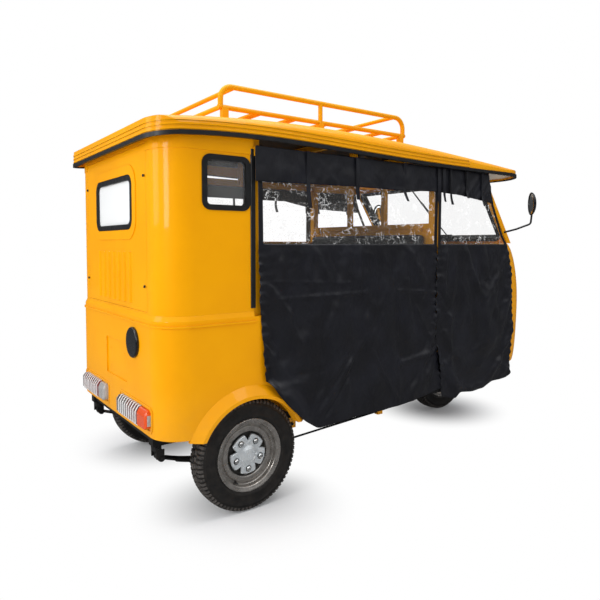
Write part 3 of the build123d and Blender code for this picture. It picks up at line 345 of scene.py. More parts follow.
@dataclass(frozen=True)
class Rubber(Finish):
    """Moulded black rubber, matt with a dusty bloom in patches."""

    bloom: str = "5A534B"
    bloom_share: float = 0.3

    def dress(self, tree: Tree, shader: Node, place: Socket) -> None:
        """Add the bloom, in patches of 35 and 6 mm, and a fine moulded grain.

        Args:
            tree: Tree of the material.
            shader: Its main shader.
            place: Object coordinates in metres.
        """
        coarse = self.mottled(tree, place, self.bloom, 35, self.bloom_share)
        fine = self.mottled(tree, place, self.bloom, 6, self.bloom_share * 0.6, coarse)
        tree.links.new(fine, shader.inputs["Base Color"])
        tree.links.new(self.bumped(tree, place, self.grain_mm, self.grain_depth_mm), shader.inputs["Normal"])
        self.vary_roughness(tree, shader, place, 30, 0.1)


@dataclass(frozen=True)
class WornMetal(Finish):
    """Painted, plated or bare metal with stains and rounded bright edges."""

    stain: str = "3A3733"
    stain_share: float = 0.4
    stain_mm: float = 28.0

    def dress(self, tree: Tree, shader: Node, place: Socket) -> None:
        """Add stains, a varying gloss, a light relief and edges rounded to 1.2 mm.

        Args:
            tree: Tree of the material.
            shader: Its main shader.
            place: Object coordinates in metres.
        """
        tree.links.new(self.stained(tree, place), shader.inputs["Base Color"])
        relief = self.bumped(tree, place, self.grain_mm, self.grain_depth_mm, rounded_edges(tree, 0.0012))
        tree.links.new(relief, shader.inputs["Normal"])
        self.vary_roughness(tree, shader, place, 45, 0.1)

    def stained(self, tree: Tree, place: Socket) -> Socket:
        """Colour of the metal under its stains."""
        return self.mottled(tree, place, self.stain, self.stain_mm, self.stain_share)


@dataclass(frozen=True)
class Underseal(WornMetal):
    """Black underseal over the frame, with the brackets that hang lowest left in body colour."""

    bracket: str = "E59A08"
    bracket_below: float = 0.337
    bracket_from: float = 0.2

    def stained(self, tree: Tree, place: Socket) -> Socket:
        """Stained black, with the yellow of the low brackets ahead of the rear axle."""
        along, _, height = split(tree, place)
        low = maths(tree, "LESS_THAN", height, self.bracket_below)
        ahead = maths(tree, "GREATER_THAN", along, AXLE_X + self.bracket_from)
        return mixed(tree, maths(tree, "MULTIPLY", low, ahead), super().stained(tree, place), linear(self.bracket))


@dataclass(frozen=True)
class WovenNylon(Finish):
    """Coated black nylon taffeta: satin cloth with a fine plain weave and a soft sheen on its folds."""

    thread_mm: float = 2.0
    drift: str = "1A1B24"

    def dress(self, tree: Tree, shader: Node, place: Socket) -> None:
        """Add the weave, drawn at 2 mm so that it shows (the real threads lie 0.3 mm apart), and the sheen.

        Args:
            tree: Tree of the material.
            shader: Its main shader.
            place: Object coordinates in metres.
        """
        # tone drifts over 160 mm, small creases lie 30 mm apart
        tree.links.new(self.mottled(tree, place, self.drift, 160, 0.7), shader.inputs["Base Color"])
        along, _, height = split(tree, place)
        per_metre = TAU * 1000 / self.thread_mm
        waves = [maths(tree, "SINE", maths(tree, "MULTIPLY", axis, per_metre)) for axis in (along, height)]
        values = {"Height": maths(tree, "MULTIPLY", *waves), "Distance": 0.00007,
                  "Normal": self.bumped(tree, place, 30, 1.1)}
        tree.links.new(add_node(tree, "ShaderNodeBump", values).outputs[0], shader.inputs["Normal"])
        self.set_values(shader, specular_ior_level=0.5, sheen_weight=0.02, sheen_roughness=0.4)
        self.vary_roughness(tree, shader, place, 90, 0.08)


@dataclass(frozen=True)
class Clear(Finish):
    """Clear glass or film: nearly all light goes straight through. Along the film's crumples it shows painted glints,
    white lines that glow, and a pane behind a set X is painted near-white as a painted reflection of the bright
    background.
    """

    haze: float = 0.06
    crumple_mm: float = 0.0
    # painted glints: how opaque the white glowing lines along the crumples are
    crumple_haze: float = 0.5
    # a pane behind this X is painted near-white, a painted reflection of the bright background, by this much
    pale_behind: float = -10.0
    pale: float = 0.88

    def dress(self, tree: Tree, shader: Node, place: Socket) -> None:
        """Let the light through, paint glints along the film's crumples by raising its alpha there and letting it
        glow white, and paint a pane behind a set X near-white as a painted reflection.

        Args:
            tree: Tree of the material.
            shader: Its main shader.
            place: Object coordinates in metres.
        """
        along = split(tree, place)[0]
        # painted reflection: a pane behind the set X turns near-opaque white
        haze_and_painted_light = mapped(tree, along, (self.pale_behind - 0.01, self.pale_behind), (self.pale, self.haze))
        self.vary_roughness(tree, shader, place, 70, 0.03)
        if self.crumple_mm:
            ridge = clouds(tree, place, 1000 / self.crumple_mm, 4.0, Roughness=0.6)
            apart = maths(tree, "ABSOLUTE", maths(tree, "SUBTRACT", ridge, 0.5))
            # a painted glint line along a crumple's ridge shows about 1 mm wide and breaks off after some 40 mm
            line = mapped(tree, apart, (0.002, 0.011), (self.crumple_haze, 0.0))
            share = mapped(tree, clouds(tree, place, 16.0, 2.0), (0.47, 0.62))
            haze_and_painted_light = maths(tree, "ADD", maths(tree, "MULTIPLY", line, share), self.haze)
            # painted glints: the film glows white, most where the ridge lines raise its alpha, so they stay as bright
            # as the daylight behind the film
            self.set_values(shader, emission_color=linear("FFFFFF"), emission_strength=0.5)
            tree.links.new(self.bumped(tree, place, self.crumple_mm, 1.5), shader.inputs["Normal"])
        tree.links.new(haze_and_painted_light, shader.inputs["Alpha"])


@dataclass(frozen=True)
class LampPlastic(Finish):
    """Coloured lamp acrylic with a prism pattern moulded behind it."""

    prism_mm: float = 6.0
    # painted shade: colour that the prism cells darken towards
    deep: str = "2A1512"

    def dress(self, tree: Tree, shader: Node, place: Socket) -> None:
        """Add the prisms, 0.6 mm in relief and darker in their valleys as painted shade, with a glossy skin.

        Args:
            tree: Tree of the material.
            shader: Its main shader.
            place: Object coordinates in metres.
        """
        cells = add_node(tree, "ShaderNodeTexVoronoi", {"Vector": place, "Scale": 1000 / self.prism_mm}).outputs[0]
        # painted shade: each prism cell's colour darkens with the relief
        prism_shaded_colour = mixed(tree, maths(tree, "MULTIPLY", cells, 0.55), linear(self.colour), linear(self.deep))
        tree.links.new(prism_shaded_colour, shader.inputs["Base Color"])
        self.set_values(shader, coat_weight=0.8, coat_roughness=0.05)
        bump = add_node(tree, "ShaderNodeBump", {"Height": cells, "Distance": 0.0006}).outputs[0]
        tree.links.new(bump, shader.inputs["Normal"])


PAINT = Enamel("gloss_enamel_yellow", "F2A400", roughness=0.42, shade="E08F00")
ROOF_PAINT = Enamel("gloss_enamel_roof", "F0A200", roughness=0.4, shade="D98C00", underside="2E251A", visor="D9D4C6",
                    dust=0.0)
FRAME_PAINT = Enamel("semi_gloss_enamel_frame", "E8A00A", roughness=0.45, shade="C97F06")
GASKET_RUBBER = Rubber("moulded_gasket_rubber", "0D0E10", roughness=0.5, bloom="1E1F21", bloom_share=0.35)
TYRE_RUBBER = Rubber("vulcanised_tyre_rubber", "0F0E0E", roughness=0.62, bloom="3A322A", bloom_share=0.3,
                     grain_mm=2.4, grain_depth_mm=0.12)
# tread lugs lighter grey than the carcass: partly road dust, partly a painted highlight for the light their tips
# catch
TREAD_DUST_AND_HIGHLIGHT = Rubber("road_worn_tread_rubber", "2A2725", roughness=0.6, bloom="66605A", bloom_share=0.6,
                      grain_mm=2.0, grain_depth_mm=0.15)
WHEEL_STEEL = WornMetal("silver_painted_wheel_steel", "B8B3AD", roughness=0.28, metallic=0.82, stain="6A645D",
                        stain_share=0.4, grain_mm=3, grain_depth_mm=0.02)
# dark steel of the wheel disc, also used as painted shade in the hub cover's recesses round the nuts
DISC_STEEL_AND_RECESS_SHADE = WornMetal("dark_disc_steel", "3A3835", roughness=0.5, metallic=0.3, stain="1E1C1A", stain_share=0.5,
                       grain_mm=3, grain_depth_mm=0.04)
PLATED_STEEL = WornMetal("bright_plated_steel", "E4E9EB", roughness=0.25, metallic=0.5, stain="B8BEC0",
                         stain_share=0.3, grain_mm=2, grain_depth_mm=0.01)
NUT_STEEL = WornMetal("bright_nut_steel", "F2F4F4", roughness=0.16, metallic=1.0, stain="C8CACA", stain_share=0.2,
                      grain_mm=2, grain_depth_mm=0.005)
CHASSIS_BLACK = WornMetal("satin_chassis_black", "0E0E0F", roughness=0.5, stain="2A2621", stain_share=0.45,
                          grain_mm=4, grain_depth_mm=0.08)
UNDERSEAL = Underseal("black_underseal", "0D0D0E", roughness=0.7, stain="1C1A17", stain_share=0.45, grain_mm=5,
                      grain_depth_mm=0.2)
BLACK_TRIM = WornMetal("satin_black_trim", "0F0F11", roughness=0.38, stain="1B1B1D", stain_share=0.4)
ABS_BLACK = Finish("moulded_black_plastic", "111214", roughness=0.4, grain_mm=1.0, grain_depth_mm=0.05)
CAP_BLACK = Finish("gloss_black_cap", "15171A", roughness=0.22, grain_mm=2.0, grain_depth_mm=0.01)
NYLON = WovenNylon("coated_black_nylon", "101016", roughness=0.4)
# the film's crumple lines carry painted glints
FILM = Clear("clear_flexible_film", "F6F6F4", roughness=0.1, haze=0.012, crumple_mm=34, crumple_haze=0.7)
# glass behind X -1.24 is painted near-white, a painted reflection of the bright background
GLASS = Clear("toughened_window_glass", "FAFBFA", roughness=0.03, haze=0.05, pale_behind=-1.24)
VINYL = Finish("grained_black_vinyl", "141416", roughness=0.46, grain_mm=1.6, grain_depth_mm=0.12)
FLOOR_RUBBER = Rubber("ribbed_floor_rubber", "1C1D1E", roughness=0.7, bloom="5E5448", bloom_share=0.5,
                      grain_mm=3, grain_depth_mm=0.4)
CAST_ALLOY = WornMetal("sand_cast_alloy", "8D8F8F", roughness=0.5, metallic=0.9, stain="55524D",
                       stain_share=0.6, grain_mm=1.5, grain_depth_mm=0.2)
BATTERY_CASE = Finish("battery_case_plastic", "2B2E33", roughness=0.55, grain_mm=1.0, grain_depth_mm=0.06)
MIRROR_SILVER = Finish("silvered_mirror", "EDF0F0", roughness=0.04, metallic=1.0, grain_depth_mm=0.0)
LENS_CLEAR = LampPlastic("clear_lamp_acrylic", "B9B7B4", roughness=0.14, deep="6E6C6A")
LENS_SMOKE = LampPlastic("smoked_lamp_acrylic", "5A524C", roughness=0.14, deep="241D1A")
LENS_ROSE = LampPlastic("rose_lamp_acrylic", "66291F", roughness=0.14, deep="33100C")
LENS_ORANGE = LampPlastic("orange_lamp_acrylic", "F0581A", roughness=0.12, deep="A83212")
LENS_RED = LampPlastic("red_lamp_acrylic", "7E130C", roughness=0.12, deep="3E0806")
RIB_ACRYLIC = LampPlastic("clear_rib_acrylic", "FFFFFF", roughness=0.12, deep="E4E2E0")
HEADLAMP = LampPlastic("headlamp_glass", "DADDDC", roughness=0.05, prism_mm=12, deep="8A8D8C")

NODE_FINISHES: Mapping[Finish, Sequence[str]] = {
    PAINT: ("rear_tub", "rear_cabin", "rear_panel", "nose_panel", "windscreen_frame"),
    ROOF_PAINT: ("roof_shell",),
    FRAME_PAINT: ("roof_rack", "cab_frame", "partition_frame", "roof_bows"),
    UNDERSEAL: ("chassis_frame",),
    GASKET_RUBBER: ("window_gaskets", "windscreen_gasket", "roof_edge_trim"),
    CHASSIS_BLACK: ("front_wheel_arch", "rear_axle", "leaf_springs", "seat_boxes"),
    WHEEL_STEEL: ("front_rim",),
    BLACK_TRIM: ("handlebar", "mirror_arms", "wiper", "brake_rod", "fork", "front_mudguard"),
    ABS_BLACK: ("dashboard",),
    CAP_BLACK: ("port_cap",),
    GLASS: ("window_glass", "windscreen_glass"),
    FLOOR_RUBBER: ("floor_pan",),
    CAST_ALLOY: ("drive_motor",),
    BATTERY_CASE: ("battery_pack",),
    HEADLAMP: ("front_lamps",),
}


def mesh_object(name: str, points: Iterable[Sequence[float]], faces: Iterable[Sequence[int]],
                finish: Finish | None, smooth: bool = True) -> Piece:
    """Make a mesh object in the part's frame.

    Args:
        name: Name of the piece.
        points: Its corners in metres.
        faces: Corner numbers of each face.
        finish: Its finish, or None for a helper mesh.
        smooth: Whether its faces shade as one curved surface.

    Returns:
        The linked object.
    """
    mesh = bpy.data.meshes.new(name)
    mesh.from_pydata([tuple(p) for p in points], [], [tuple(f) for f in faces])
    mesh.validate()
    if finish is not None:
        mesh.materials.append(finish.material())
    mesh.shade_smooth() if smooth else mesh.shade_flat()
    made = bpy.data.objects.new(name, mesh)
    bpy.context.scene.collection.objects.link(made)
    return made


def middle_of(node: str) -> Point:
    """Middle of a node's box, from the frame."""
    low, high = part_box(node)
    return tuple((low + high) / 2)


def quads(rows: int, wide: int, ring: bool = False, closed: bool = False) -> list[tuple[int, ...]]:
    """Number the faces between rows of points that lie side by side.

    Args:
        rows: Count of the rows.
        wide: Points in each row.
        ring: Whether each row closes on itself.
        closed: Whether the last row joins the first.

    Returns:
        The corner numbers of each face, row after row.
    """
    faces = []
    for row in range(rows - (not closed)):
        here, there = row * wide, (row + 1) % rows * wide
        faces += [(here + j, here + (j + 1) % wide, there + (j + 1) % wide, there + j)
                  for j in range(wide - (not ring))]
    return faces


def walled(piece: Piece, thickness: float, offset: float = 0.0) -> None:
    """Give a sheet its thickness in metres, laid about its middle or, at offset -1, behind its face."""
    wall = piece.modifiers.new("wall", "SOLIDIFY")
    wall.thickness, wall.offset = thickness, offset


def refined(piece: Piece) -> None:
    """Divide a mesh once more and round it."""
    finer = piece.modifiers.new("finer", "SUBSURF")
    finer.levels = finer.render_levels = 1


def face_outwards(piece: Piece) -> None:
    """Turn a closed mesh's faces outwards, once its doubles are merged.

    Args:
        piece: The closed mesh.
    """
    work = bmesh.new()
    work.from_mesh(piece.data)
    bmesh.ops.remove_doubles(work, verts=work.verts, dist=1e-6)
    bmesh.ops.recalc_face_normals(work, faces=work.faces)
    work.to_mesh(piece.data)
    work.free()


def fixed(piece: Piece) -> Piece:
    """Replace a piece's mesh by what its modifiers make of it, and drop them.

    Args:
        piece: The piece.

    Returns:
        The same piece.
    """
    graph = bpy.context.evaluated_depsgraph_get()
    mesh = bpy.data.meshes.new_from_object(piece.evaluated_get(graph), depsgraph=graph)
    piece.modifiers.clear()
    piece.data = mesh
    return piece


def remove(*pieces: Piece) -> None:
    """Delete helper objects."""
    for piece in pieces:
        bpy.data.objects.remove(piece)


def settle(piece: Piece, body: Body, slot: str, *stands_for: str) -> Piece:
    """Give a finished piece its body and hide the nodes it stands for.

    Args:
        piece: The piece.
        body: Body that it rides on.
        slot: Material slot of the record; not used.
        *stands_for: Nodes that it replaces, if any.

    Returns:
        The same piece.
    """
    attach(piece, body.value)
    if stands_for:
        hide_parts(*stands_for)
    LOG.info("piece %s on %s", piece.name, body.value)
    return piece


def pattern_tree(layout: Layout) -> Tree:
    """Geometry Nodes tree that lays copies of an item, made once for each layout.

    Args:
        layout: How the copies lie.

    Returns:
        The tree, with named inputs for its sizes.
    """
    name = f"lay_{layout.name.lower()}"
    tree = bpy.data.node_groups.get(name)
    if tree is not None:
        return tree
    tree = bpy.data.node_groups.new(name, "GeometryNodeTree")
    wanted = (("Places", "Geometry"), ("Item", "Object"), ("Finish", "Material"), ("Turn", "Vector"),
              ("Shift", "Vector"), ("Count", "Int"), ("Phase", "Float"))
    for label, kind in wanted:
        tree.interface.new_socket(label, in_out="INPUT", socket_type=f"NodeSocket{kind}")
    tree.interface.new_socket("Result", in_out="OUTPUT", socket_type="NodeSocketGeometry")
    given = tree.nodes.new("NodeGroupInput").outputs
    item = add_node(tree, "GeometryNodeObjectInfo", {"Object": given["Item"]}).outputs["Geometry"]
    values = {"Instance": item}
    if layout is Layout.RING:
        values["Points"] = add_node(tree, "GeometryNodePoints", {"Count": given["Count"]}).outputs[0]
        index = add_node(tree, "GeometryNodeInputIndex").outputs[0]
        angle = maths(tree, "MULTIPLY_ADD", index, maths(tree, "DIVIDE", TAU, given["Count"]), given["Phase"])
        values["Rotation"] = add_node(tree, "ShaderNodeCombineXYZ", {2: angle}).outputs[0]
    else:
        values["Points"] = given["Places"]
    copies = add_node(tree, "GeometryNodeInstanceOnPoints", values).outputs[0]
    moved = add_node(tree, "GeometryNodeTransform", {"Geometry": copies, "Translation": given["Shift"],
                                                     "Rotation": given["Turn"]}).outputs[0]
    real = add_node(tree, "GeometryNodeRealizeInstances", {0: moved}).outputs[0]
    done = add_node(tree, "GeometryNodeSetMaterial", {0: real, "Material": given["Finish"]}).outputs[0]
    add_node(tree, "NodeGroupOutput", {0: done})
    return tree


def lay_copies(name: str, layout: Layout, item: Piece, finish: Finish,
               places: Sequence[Point] = ((0.0, 0.0, 0.0),), **sizes: object) -> Piece:
    """Lay copies of an item and turn them into one plain mesh.

    Args:
        name: Name of the new piece.
        layout: How the copies lie.
        item: Object that is copied, which is deleted afterwards.
        finish: Finish of the copies.
        places: Points that carry the copies.
        **sizes: Other inputs of the tree, by their names.

    Returns:
        The new piece.
    """
    carrier_mesh = bpy.data.meshes.new(name)
    carrier_mesh.from_pydata([tuple(p) for p in places], [], [])
    piece = bpy.data.objects.new(name, carrier_mesh)
    bpy.context.scene.collection.objects.link(piece)
    modifier = piece.modifiers.new("copies", "NODES")
    tree = pattern_tree(layout)
    modifier.node_group = tree
    sockets = {s.name: s.identifier for s in tree.interface.items_tree if s.in_out == "INPUT"}
    for label, value in {"Item": item, "Finish": finish.material(), **sizes}.items():
        modifier[sockets[label]] = value
    fixed(piece)
    remove(item)
    return piece


def prism(name: str, section: Outline, low: float, high: float, axes: tuple[int, int, int]) -> Piece:
    """Make a helper solid from a flat outline.

    Args:
        name: Name of the helper.
        section: Corners of the outline.
        low: Start of its length.
        high: End of its length.
        axes: Axis numbers of the outline's two directions and of the length.

    Returns:
        The closed solid.
    """
    count = len(section)
    points = []
    for end in (low, high):
        for u, v in section:
            point = [0.0, 0.0, 0.0]
            point[axes[0]], point[axes[1]], point[axes[2]] = u, v, end
            points.append(point)
    faces = [tuple(range(count)), tuple(range(count, 2 * count))] + quads(2, count, ring=True)
    made = mesh_object(name, points, faces, None, smooth=False)
    face_outwards(made)
    return made


def revolved(name: str, profile: Outline, centre: Point, finish: Finish, segments: int = 128,
             axis: Point = (0.0, 1.0, 0.0), shares: tuple[float, float] = (1.0, 1.0)) -> Piece:
    """Turn a closed profile about an axis.

    Args:
        name: Name of the piece.
        profile: Radius and distance along the axis of each point.
        centre: Point of the axis that distances start from.
        finish: Finish of the piece.
        segments: Steps round the axis.
        axis: Direction of the axis.
        shares: Stretch of the turned circle level and upright, for an oval.

    Returns:
        The turned piece.
    """
    ahead = Vector(axis).normalized()
    upright = Vector((0, 0, 1)) if abs(ahead.z) < 0.9 else Vector((0, 1, 0))
    level = upright.cross(ahead)
    points = [Vector(centre) + level * (r * math.cos(TAU * k / segments) * shares[0])
              + upright * (r * math.sin(TAU * k / segments) * shares[1]) + ahead * v
              for k in range(segments) for r, v in profile]
    made = mesh_object(name, points, quads(segments, len(profile), ring=True, closed=True), finish)
    face_outwards(made)
    return made


def joined(name: str, pieces: Sequence[Piece]) -> Piece:
    """Join pieces that share one body.

    Args:
        name: Name of the whole.
        pieces: The pieces, the first of which takes up the others.

    Returns:
        The whole.
    """
    with bpy.context.temp_override(active_object=pieces[0], selected_editable_objects=list(pieces)):
        bpy.ops.object.join()
    pieces[0].name = name
    return pieces[0]


@dataclass
class Tyre:
    """Bias-ply tyre: ringed side walls, combed shoulder lugs and two rows of centre lugs."""

    node: str
    body: Body
    shoulder_lugs: int = 76
    centre_lugs: int = 54
    groove: float = 0.0068
    wall_rings: Sequence[float] = (0.181, 0.226)
    ring_height: float = 0.0009

    def profile(self, radius: float, half: float) -> Outline:
        """Outline of the carcass from one bead to the other.

        Args:
            radius: Radius over the tread.
            half: Half of the section's width.

        Returns:
            Radius and distance along the axle of each point.
        """
        floor = radius - self.groove
        wall = [(0.1668, half - 0.0085), (0.1695, half - 0.0042), (0.176, half - 0.0022)]
        for ring in self.wall_rings:
            for reach, rise in ((-0.0025, 0.0), (-0.001, 1.0), (0.001, 1.0), (0.0025, 0.0)):
                at = ring + reach
                bulge = 0.0014 * math.cos((at - 0.205) / 0.034 * math.pi / 2)
                wall.append((at, half - 0.0016 + bulge + rise * self.ring_height - 0.0009))
            if ring == self.wall_rings[0]:
                wall.append((0.204, half - 0.0003))
        wall += [(0.236, half - 0.0036), (floor - 0.008, half - 0.0075), (floor - 0.002, half - 0.014),
                 (floor, half - 0.03)]
        crown = [(floor + 0.0004, 0.0)]
        inner = [(0.1668, -(half - 0.02)), (0.1668, half - 0.02)]
        return wall + crown + [(r, -v) for r, v in reversed(wall)] + inner

    def lugs(self, radius: float, half: float, centre: Point) -> list[Piece]:
        """Tread lugs: a comb over each shoulder and two staggered rows between.

        Args:
            radius: Radius over the tread.
            half: Half of the section's width.
            centre: Middle of the wheel.

        Returns:
            One piece for each row.
        """
        floor = radius - self.groove - 0.001
        shoulder = [(floor, 0.023), (radius - 0.0008, 0.024), (radius - 0.0035, half - 0.014),
                    (radius - 0.0105, half - 0.0052), (radius - 0.021, half - 0.0028), (radius - 0.021, half - 0.006),
                    (floor - 0.004, half - 0.013)]
        middle = [(floor, 0.002), (radius, 0.003), (radius - 0.0006, 0.0195), (floor, 0.021)]
        rows = []
        for side in (-1, 1):
            for label, section, count, width, phase in (("shoulder", shoulder, self.shoulder_lugs, 0.0115, 0.0),
                                                        ("centre", middle, self.centre_lugs, 0.0205, 0.5)):
                item = prism("lug", [(r, side * v) for r, v in section], -width / 2, width / 2, (0, 2, 1))
                turn = phase * side * math.pi / 2 / count + (side < 0) * math.pi / count
                # the lugs take the lighter tread finish: road dust and a painted highlight
                rows.append(lay_copies(f"{label}_lugs", Layout.RING, item, TREAD_DUST_AND_HIGHLIGHT, Count=count, Phase=turn,
                                       Turn=(math.pi / 2, 0.0, 0.0), Shift=centre))
        return rows

    def build(self) -> Piece:
        """Make the tyre and stand it for its node."""
        low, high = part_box(self.node)
        radius, half, centre = (high.z - low.z) / 2, (high.y - low.y) / 2, middle_of(self.node)
        carcass = revolved(f"{self.node}_rubber", self.profile(radius, half), centre, TYRE_RUBBER, 144)
        whole = joined(f"{self.node}_dressed", [carcass] + self.lugs(radius, half, centre))
        return settle(whole, self.body, "tyre_black", self.node)


@dataclass(frozen=True)
class WheelFace:
    """Rolled steel rim and the pressed, notched cover over its disc, on one side of the rear axle."""

    side: Side
    nuts: int = 5
    nut_circle: float = 0.066
    first_nut: float = math.radians(-90)
    cover_radius: float = 0.0925
    cover_base: float = 0.026
    notch_depth: float = 0.031
    notch_half: float = 0.0185
    recess: float = 0.0138
    recess_depth: float = 0.0055
    rolled_edge: float = 0.007
    rolled_depth: float = 0.009
    valve_angle: float = math.radians(-118)
    valve_reach: float = 0.1345
    valve: Outline = ((0.0, 0.018), (0.0055, 0.018), (0.0055, 0.030), (0.0038, 0.032), (0.0038, 0.043), (0.0, 0.044))
    nut: Outline = ((0.0, 0.0), (0.0112, 0.0), (0.0116, 0.007), (0.0112, 0.0100), (0.0090, 0.0138), (0.0048, 0.0158),
                    (0.0, 0.0142))
    # half of the rim, from its rolled lip through the well to the disc's raised ring, in millimetres
    lip: Outline = ((166.3, 46.5), (166.8, 49.2), (166.2, 51.2), (164.2, 52.0), (161.6, 51.5), (158.0, 49.4),
                    (152.0, 46.9), (147.6, 45.4), (145.2, 43.4), (144.6, 40.0), (143.6, 30.0), (142.0, 23.5),
                    (139.0, 20.6), (131.4, 20.0), (129.2, 21.4), (127.6, 25.0), (125.4, 26.7), (121.0, 27.3),
                    (112.0, 27.0), (104.6, 25.4), (102.0, 22.0), (100.8, 16.0), (100.4, 12.0))
    barrel: Outline = ((100.4, 6), (124, 6), (128, 4), (128, -10), (145, -16), (145, -50), (161, -50), (161, -52),
                       (166, -52), (166, -46), (150, -46), (150, -14), (134, -8), (134, 8), (150, 14), (150, 44),
                       (166, 44))
    disc: Outline = ((101.6, 11), (96, 12), (60, 8), (44, 18), (31, 22), (30, 26), (0, 26), (0, 19), (17.05, 19),
                     (17.05, -58), (92, -58), (92, -16), (60, -16), (62, 4), (101.6, 7))

    def centre(self) -> Point:
        """Middle of the wheel."""
        return middle_of(f"rear_tyre_{self.side.word}")

    def body(self) -> Body:
        """Body that the wheel is."""
        return Body.REAR_LEFT if self.side is Side.LEFT else Body.REAR_RIGHT

    def rim(self) -> Piece:
        """Make the rim with its dark disc, drum and valve."""
        axis = (0.0, float(self.side.value), 0.0)
        parts = []
        for profile, finish in ((self.lip + self.barrel, WHEEL_STEEL), (self.disc, DISC_STEEL_AND_RECESS_SHADE)):
            metres = [(r / 1000, v / 1000) for r, v in profile]
            parts.append(revolved("ring", metres, self.centre(), finish, 144, axis))
        x, y, z = self.centre()
        foot = (x + self.valve_reach * math.cos(self.valve_angle), y,
                z + self.valve_reach * math.sin(self.valve_angle))
        parts.append(revolved("valve", self.valve, foot, BLACK_TRIM, 20, axis))
        made = joined(f"rear_rim_{self.side.word}_dressed", parts)
        return settle(made, self.body(), "rim_steel", f"rear_rim_{self.side.word}")

    def from_nut(self, radius: float, angle: float) -> float:
        """Distance from the nearest nut's middle.

        Args:
            radius: Distance from the axle.
            angle: Angle round the axle.

        Returns:
            The distance in metres.
        """
        pitch = TAU / self.nuts
        near = (angle - self.first_nut + pitch / 2) % pitch - pitch / 2
        return math.hypot(radius * math.cos(near) - self.nut_circle, radius * math.sin(near))

    def edge(self, angle: float) -> float:
        """Radius of the cover's edge, drawn in at the notches between the nuts.

        Args:
            angle: Angle round the axle.

        Returns:
            The radius in metres.
        """
        pitch = TAU / self.nuts
        off = abs((angle - self.first_nut) % pitch - pitch / 2)
        return self.cover_radius - self.notch_depth * max(0.0, 1 - off * self.cover_radius / self.notch_half)

    def rise(self, radius: float, angle: float) -> float:
        """Height of the cover's face over its base at one place.

        Args:
            radius: Distance from the axle.
            angle: Angle round the axle.

        Returns:
            The height in metres.
        """
        high = float(np.interp(radius, (0.0, 0.0268, 0.0292, 0.034, 0.042, 0.052),
                               (0.0216, 0.0210, 0.0186, 0.0162, 0.0110, 0.0085)))
        left = self.edge(angle) - radius
        if left < self.rolled_edge:
            high -= self.rolled_depth * (1 - left / self.rolled_edge) ** 2
        away = self.from_nut(radius, angle)
        if away < self.recess:
            high -= self.recess_depth * min(1.0, (1 - away / self.recess) * 3.2)
        return high

    def cover(self) -> Piece:
        """Make the cover and its domed nuts."""
        x, y, z = self.centre()
        out, steps, rings = self.side.value, 300, 30
        points = [(x, y + out * (self.cover_base + self.rise(0.0, 0.0)), z)]
        for j in range(1, rings + 1):
            for k in range(steps):
                angle = TAU * k / steps
                radius = self.edge(angle) * (j / rings) ** 0.85
                points.append((x + radius * math.cos(angle), y + out * (self.cover_base + self.rise(radius, angle)),
                               z + radius * math.sin(angle)))
        faces = [(0, 1 + k, 1 + (k + 1) % steps) for k in range(steps)]
        for j in range(rings - 1):
            here, there = 1 + j * steps, 1 + (j + 1) * steps
            faces += [(here + k, there + k, there + (k + 1) % steps, here + (k + 1) % steps) for k in range(steps)]
        if self.side is Side.LEFT:
            faces = [face[::-1] for face in faces]
        sheet = mesh_object("cover", points, faces, PLATED_STEEL)
        walled(sheet, 0.0016, -1.0)
        fixed(sheet)
        # painted shade in the recesses round the nuts
        self.darken_recesses(sheet)
        item = revolved("nut", self.nut, (self.nut_circle, 0.0, self.cover_base + 0.003), NUT_STEEL, 24,
                        (0.0, 0.0, 1.0))
        nuts = lay_copies("nuts", Layout.RING, item, NUT_STEEL, Count=self.nuts, Phase=-out * self.first_nut,
                          Turn=(-out * math.pi / 2, 0.0, 0.0), Shift=self.centre())
        made = joined(f"hub_cover_{self.side.word}_dressed", [sheet, nuts])
        return settle(made, self.body(), "hub_silver", f"hub_cover_{self.side.word}")

    def darken_recesses(self, sheet: Piece) -> None:
        """Give the pressed rings round the nuts, and 1 mm about them, the dark disc finish as painted shade in the
        recesses.

        Args:
            sheet: The cover without its nuts.
        """
        # painted shade: the recess faces take the dark disc finish
        sheet.data.materials.append(DISC_STEEL_AND_RECESS_SHADE.material())
        x, _, z = self.centre()
        for face in sheet.data.polygons:
            off_x, off_z = face.center.x - x, face.center.z - z
            if self.from_nut(math.hypot(off_x, off_z), math.atan2(off_z, off_x)) < self.recess + 0.001:
                face.material_index = 1


@dataclass(frozen=True)
class ClothRun:
    """One short run of the cloth solver, applied to the mesh."""

    frames: int = 18
    pressure: float = 0.0
    weight: float = 1.0
    growth: float = 0.0
    bending: float = 0.4
    stiffness: float = 15.0

    def apply(self, piece: Piece, pins: Mapping[int, float], cap: float) -> None:
        """Run the solver and keep its result, with no point further from its start than the cap.

        Args:
            piece: Cloth or pad that is simulated.
            pins: How firmly each held point is pinned, by its number.
            cap: Largest move of a point in metres.
        """
        start = np.array([v.co for v in piece.data.vertices])
        group = piece.vertex_groups.new(name="pins")
        for number, hold in pins.items():
            group.add([number], hold, "REPLACE")
        cloth = piece.modifiers.new("cloth", "CLOTH")
        cloth.settings.effector_weights.gravity = self.weight
        values = {"quality": 5, "mass": 0.15, "vertex_group_mass": group.name, "tension_stiffness": self.stiffness,
                  "compression_stiffness": self.stiffness, "shear_stiffness": self.stiffness / 2,
                  "bending_stiffness": self.bending, "shrink_min": -self.growth,
                  "use_pressure": bool(self.pressure), "uniform_pressure_force": self.pressure}
        for name, value in values.items():
            setattr(cloth.settings, name, value)
        cloth.collision_settings.use_collision = False
        for number in range(1, self.frames + 1):
            bpy.context.scene.frame_set(number)
        graph = bpy.context.evaluated_depsgraph_get()
        ended = np.array([v.co for v in piece.evaluated_get(graph).data.vertices])
        piece.modifiers.remove(cloth)
        piece.vertex_groups.clear()
        bpy.context.scene.frame_set(1)
        move = ended - start
        far = np.linalg.norm(move, axis=1, keepdims=True)
        kept = start + move * np.minimum(1.0, cap * np.tanh(far / cap) / np.maximum(far, 1e-9))
        piece.data.vertices.foreach_set("co", kept.astype(np.float32).ravel())
        piece.data.update()


